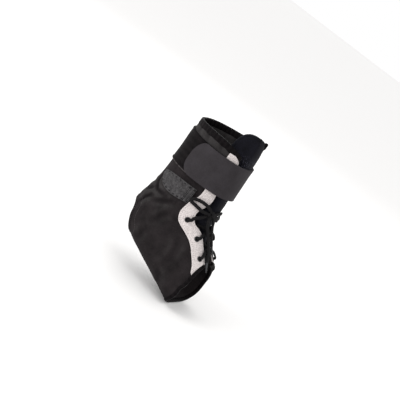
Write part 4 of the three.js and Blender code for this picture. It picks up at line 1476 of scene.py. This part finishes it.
def facing_seams():
    """Two rows down each facing: one inside its back edge and one inside its front edge."""
    stations = np.linspace(0.9, 10.0, 260)
    for side, word in ((-1, "outer"), (1, "inner")):
        back = smooth(FACING_BACK, stations)
        front, corner = facing_front(stations, side)
        turns = (
            back - FACING_BACK_ROW * turns_per_mm(stations, side * back),
            front + corner + FACING_FRONT_ROW * turns_per_mm(stations, side * front),
        )
        rows = [
            over(stations, side * turn, FACING_TOP + 0.02 + swell(stations, side * turn)) for turn in turns
        ]
        stitch_rows(f"facing_stitches_{word}", rows, FACING_STITCH, SOFT_THREAD, "facing")


def tab_seams():
    """Long dark tacks round the hook tab, and two sewn bars across its front end."""
    stations, turns = tab_grid(np.array([0.09, 0.91]))
    inside = slice(8, -7)
    sides = [(stations[inside, k], turns[inside, k]) for k in (0, 1)]
    rows = [over(s, t, tab_heights(s, t) + 0.1) for s, t in sides]
    stitch_rows("tab_tacks", rows, TACK, BLACK_THREAD, "tab")
    lines = [even([(TAB["top"] + 0.06, turn), (TAB["bottom"] - 0.06, turn)], 60) for turn in BAR_ROWS]
    rows = [over(s, t, tab_heights(s, t) + 0.03) for s, t in lines]
    stitch_rows("tab_bars", rows, BAR_STITCH, BLACK_THREAD, "tab")


def band_piping():
    """A thin rolled edge along the lower side of the black band, coloured pale as a painted highlight."""
    turn = np.linspace(BAND_ENDS[0] - 0.5, BAND_ENDS[1] + 0.5, 240)
    s = np.full(len(turn), STRAP_BOTTOM) - 0.55 * stations_per_mm(STRAP_BOTTOM, turn)
    low = BAND_TOP - 1.2 + swell(s, turn)
    return tape_piece("band_piping", s, turn, False, 1.3, low, low + 1.7, PIPING_HIGHLIGHT, "band")


def strap_seams():
    """The wrap's sewn start behind, rows of stitches through both layers."""
    lines = [even([(STRAP_TOP + 0.07, turn), (STRAP_BOTTOM - 0.07, turn)], 80) for turn in BOX_ROWS]
    rows = [over(s, t, wrap_face(s, t) + 0.02) for s, t in lines]
    stitch_rows("wrap_box_stitches", rows, BOX_STITCH, DARK_THREAD, "wrap")


def tongue_seams(face):
    """A row inside the tongue's rolled rim."""
    stations = np.linspace(0.3, 10.0, 260)
    rows = []
    for side in (-1, 1):
        turn = smooth(TONGUE_ROWS, stations, 2) + side * smooth(TONGUE_ROWS, stations, 1)
        turn = turn - side * RIM_ROW * turns_per_mm(stations, turn)
        rows.append(over(stations, turn, face(stations, turn) + 0.05))
    stitch_rows("tongue_stitches", rows, RIM_STITCH, DARK_THREAD, "tongue")


def body_seams():
    """The joins of the cloth: up the back of the leg and under the sole."""
    rows = []
    for points in ([(0.95, -180), (4.75, -180)], [(7.15, -180), (9.9, -180)]):
        s, t = even(points, 120)
        for sideways in BACK_SEAM_ROWS:
            turn = t + sideways * turns_per_mm(s, t)
            rows.append(over(s, turn, body_top(s, turn) + 0.03))
    stitch_rows("back_seam_stitches", rows, TAPE_STITCH, BODY_THREAD, "cloth")


view_axes = photo_camera()

# Free lace first
free_lace("bow_loop_outer", LOOP_OUTER, "lace_loop_outer")
free_lace("bow_loop_inner", LOOP_INNER, "lace_loop_inner")
for word, rows, tip in (("front", END_FRONT, TIP_FRONT), ("inner", END_INNER, TIP_INNER)):
    aglet = lace_tip(f"aglet_{word}", rows[-1], tip)
    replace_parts(aglet, f"lace_tip_{word}")
    free_lace(f"free_end_{word}", rows, f"lace_end_{word}")
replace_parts(lace_piece("held_lace", held_lace_rows())[0], "lace")
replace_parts(knot(), "lace_knot")

for number, (station, turn) in enumerate(EYELETS, 1):
    for side, word in ((-1, "outer"), (1, "inner")):
        ring = eyelet(f"eyelet_ring_{word}_{number}", station, side * turn)
        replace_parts(ring, f"eyelet_{word}_{number}")

boot = body()
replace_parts(boot, "boot_body")
outer_panel = facing("facing_mesh_outer", -1)
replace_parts(outer_panel, "outer_facing")
inner_panel = facing("facing_mesh_inner", 1)
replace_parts(inner_panel, "inner_facing")
pad, pad_face = tongue()
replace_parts(pad, "tongue")
band = strap_band()
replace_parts(band, "strap_band")
wrap = wrap_strap()
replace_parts(wrap, "wrap_strap")
tab = hook_tab()
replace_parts(tab, "hook_tab")
tapes = bindings()
rolled_edge = band_piping()
binding_seams()
facing_seams()
tab_seams()
strap_seams()
tongue_seams(pad_face)
body_seams()

studio(*view_axes)
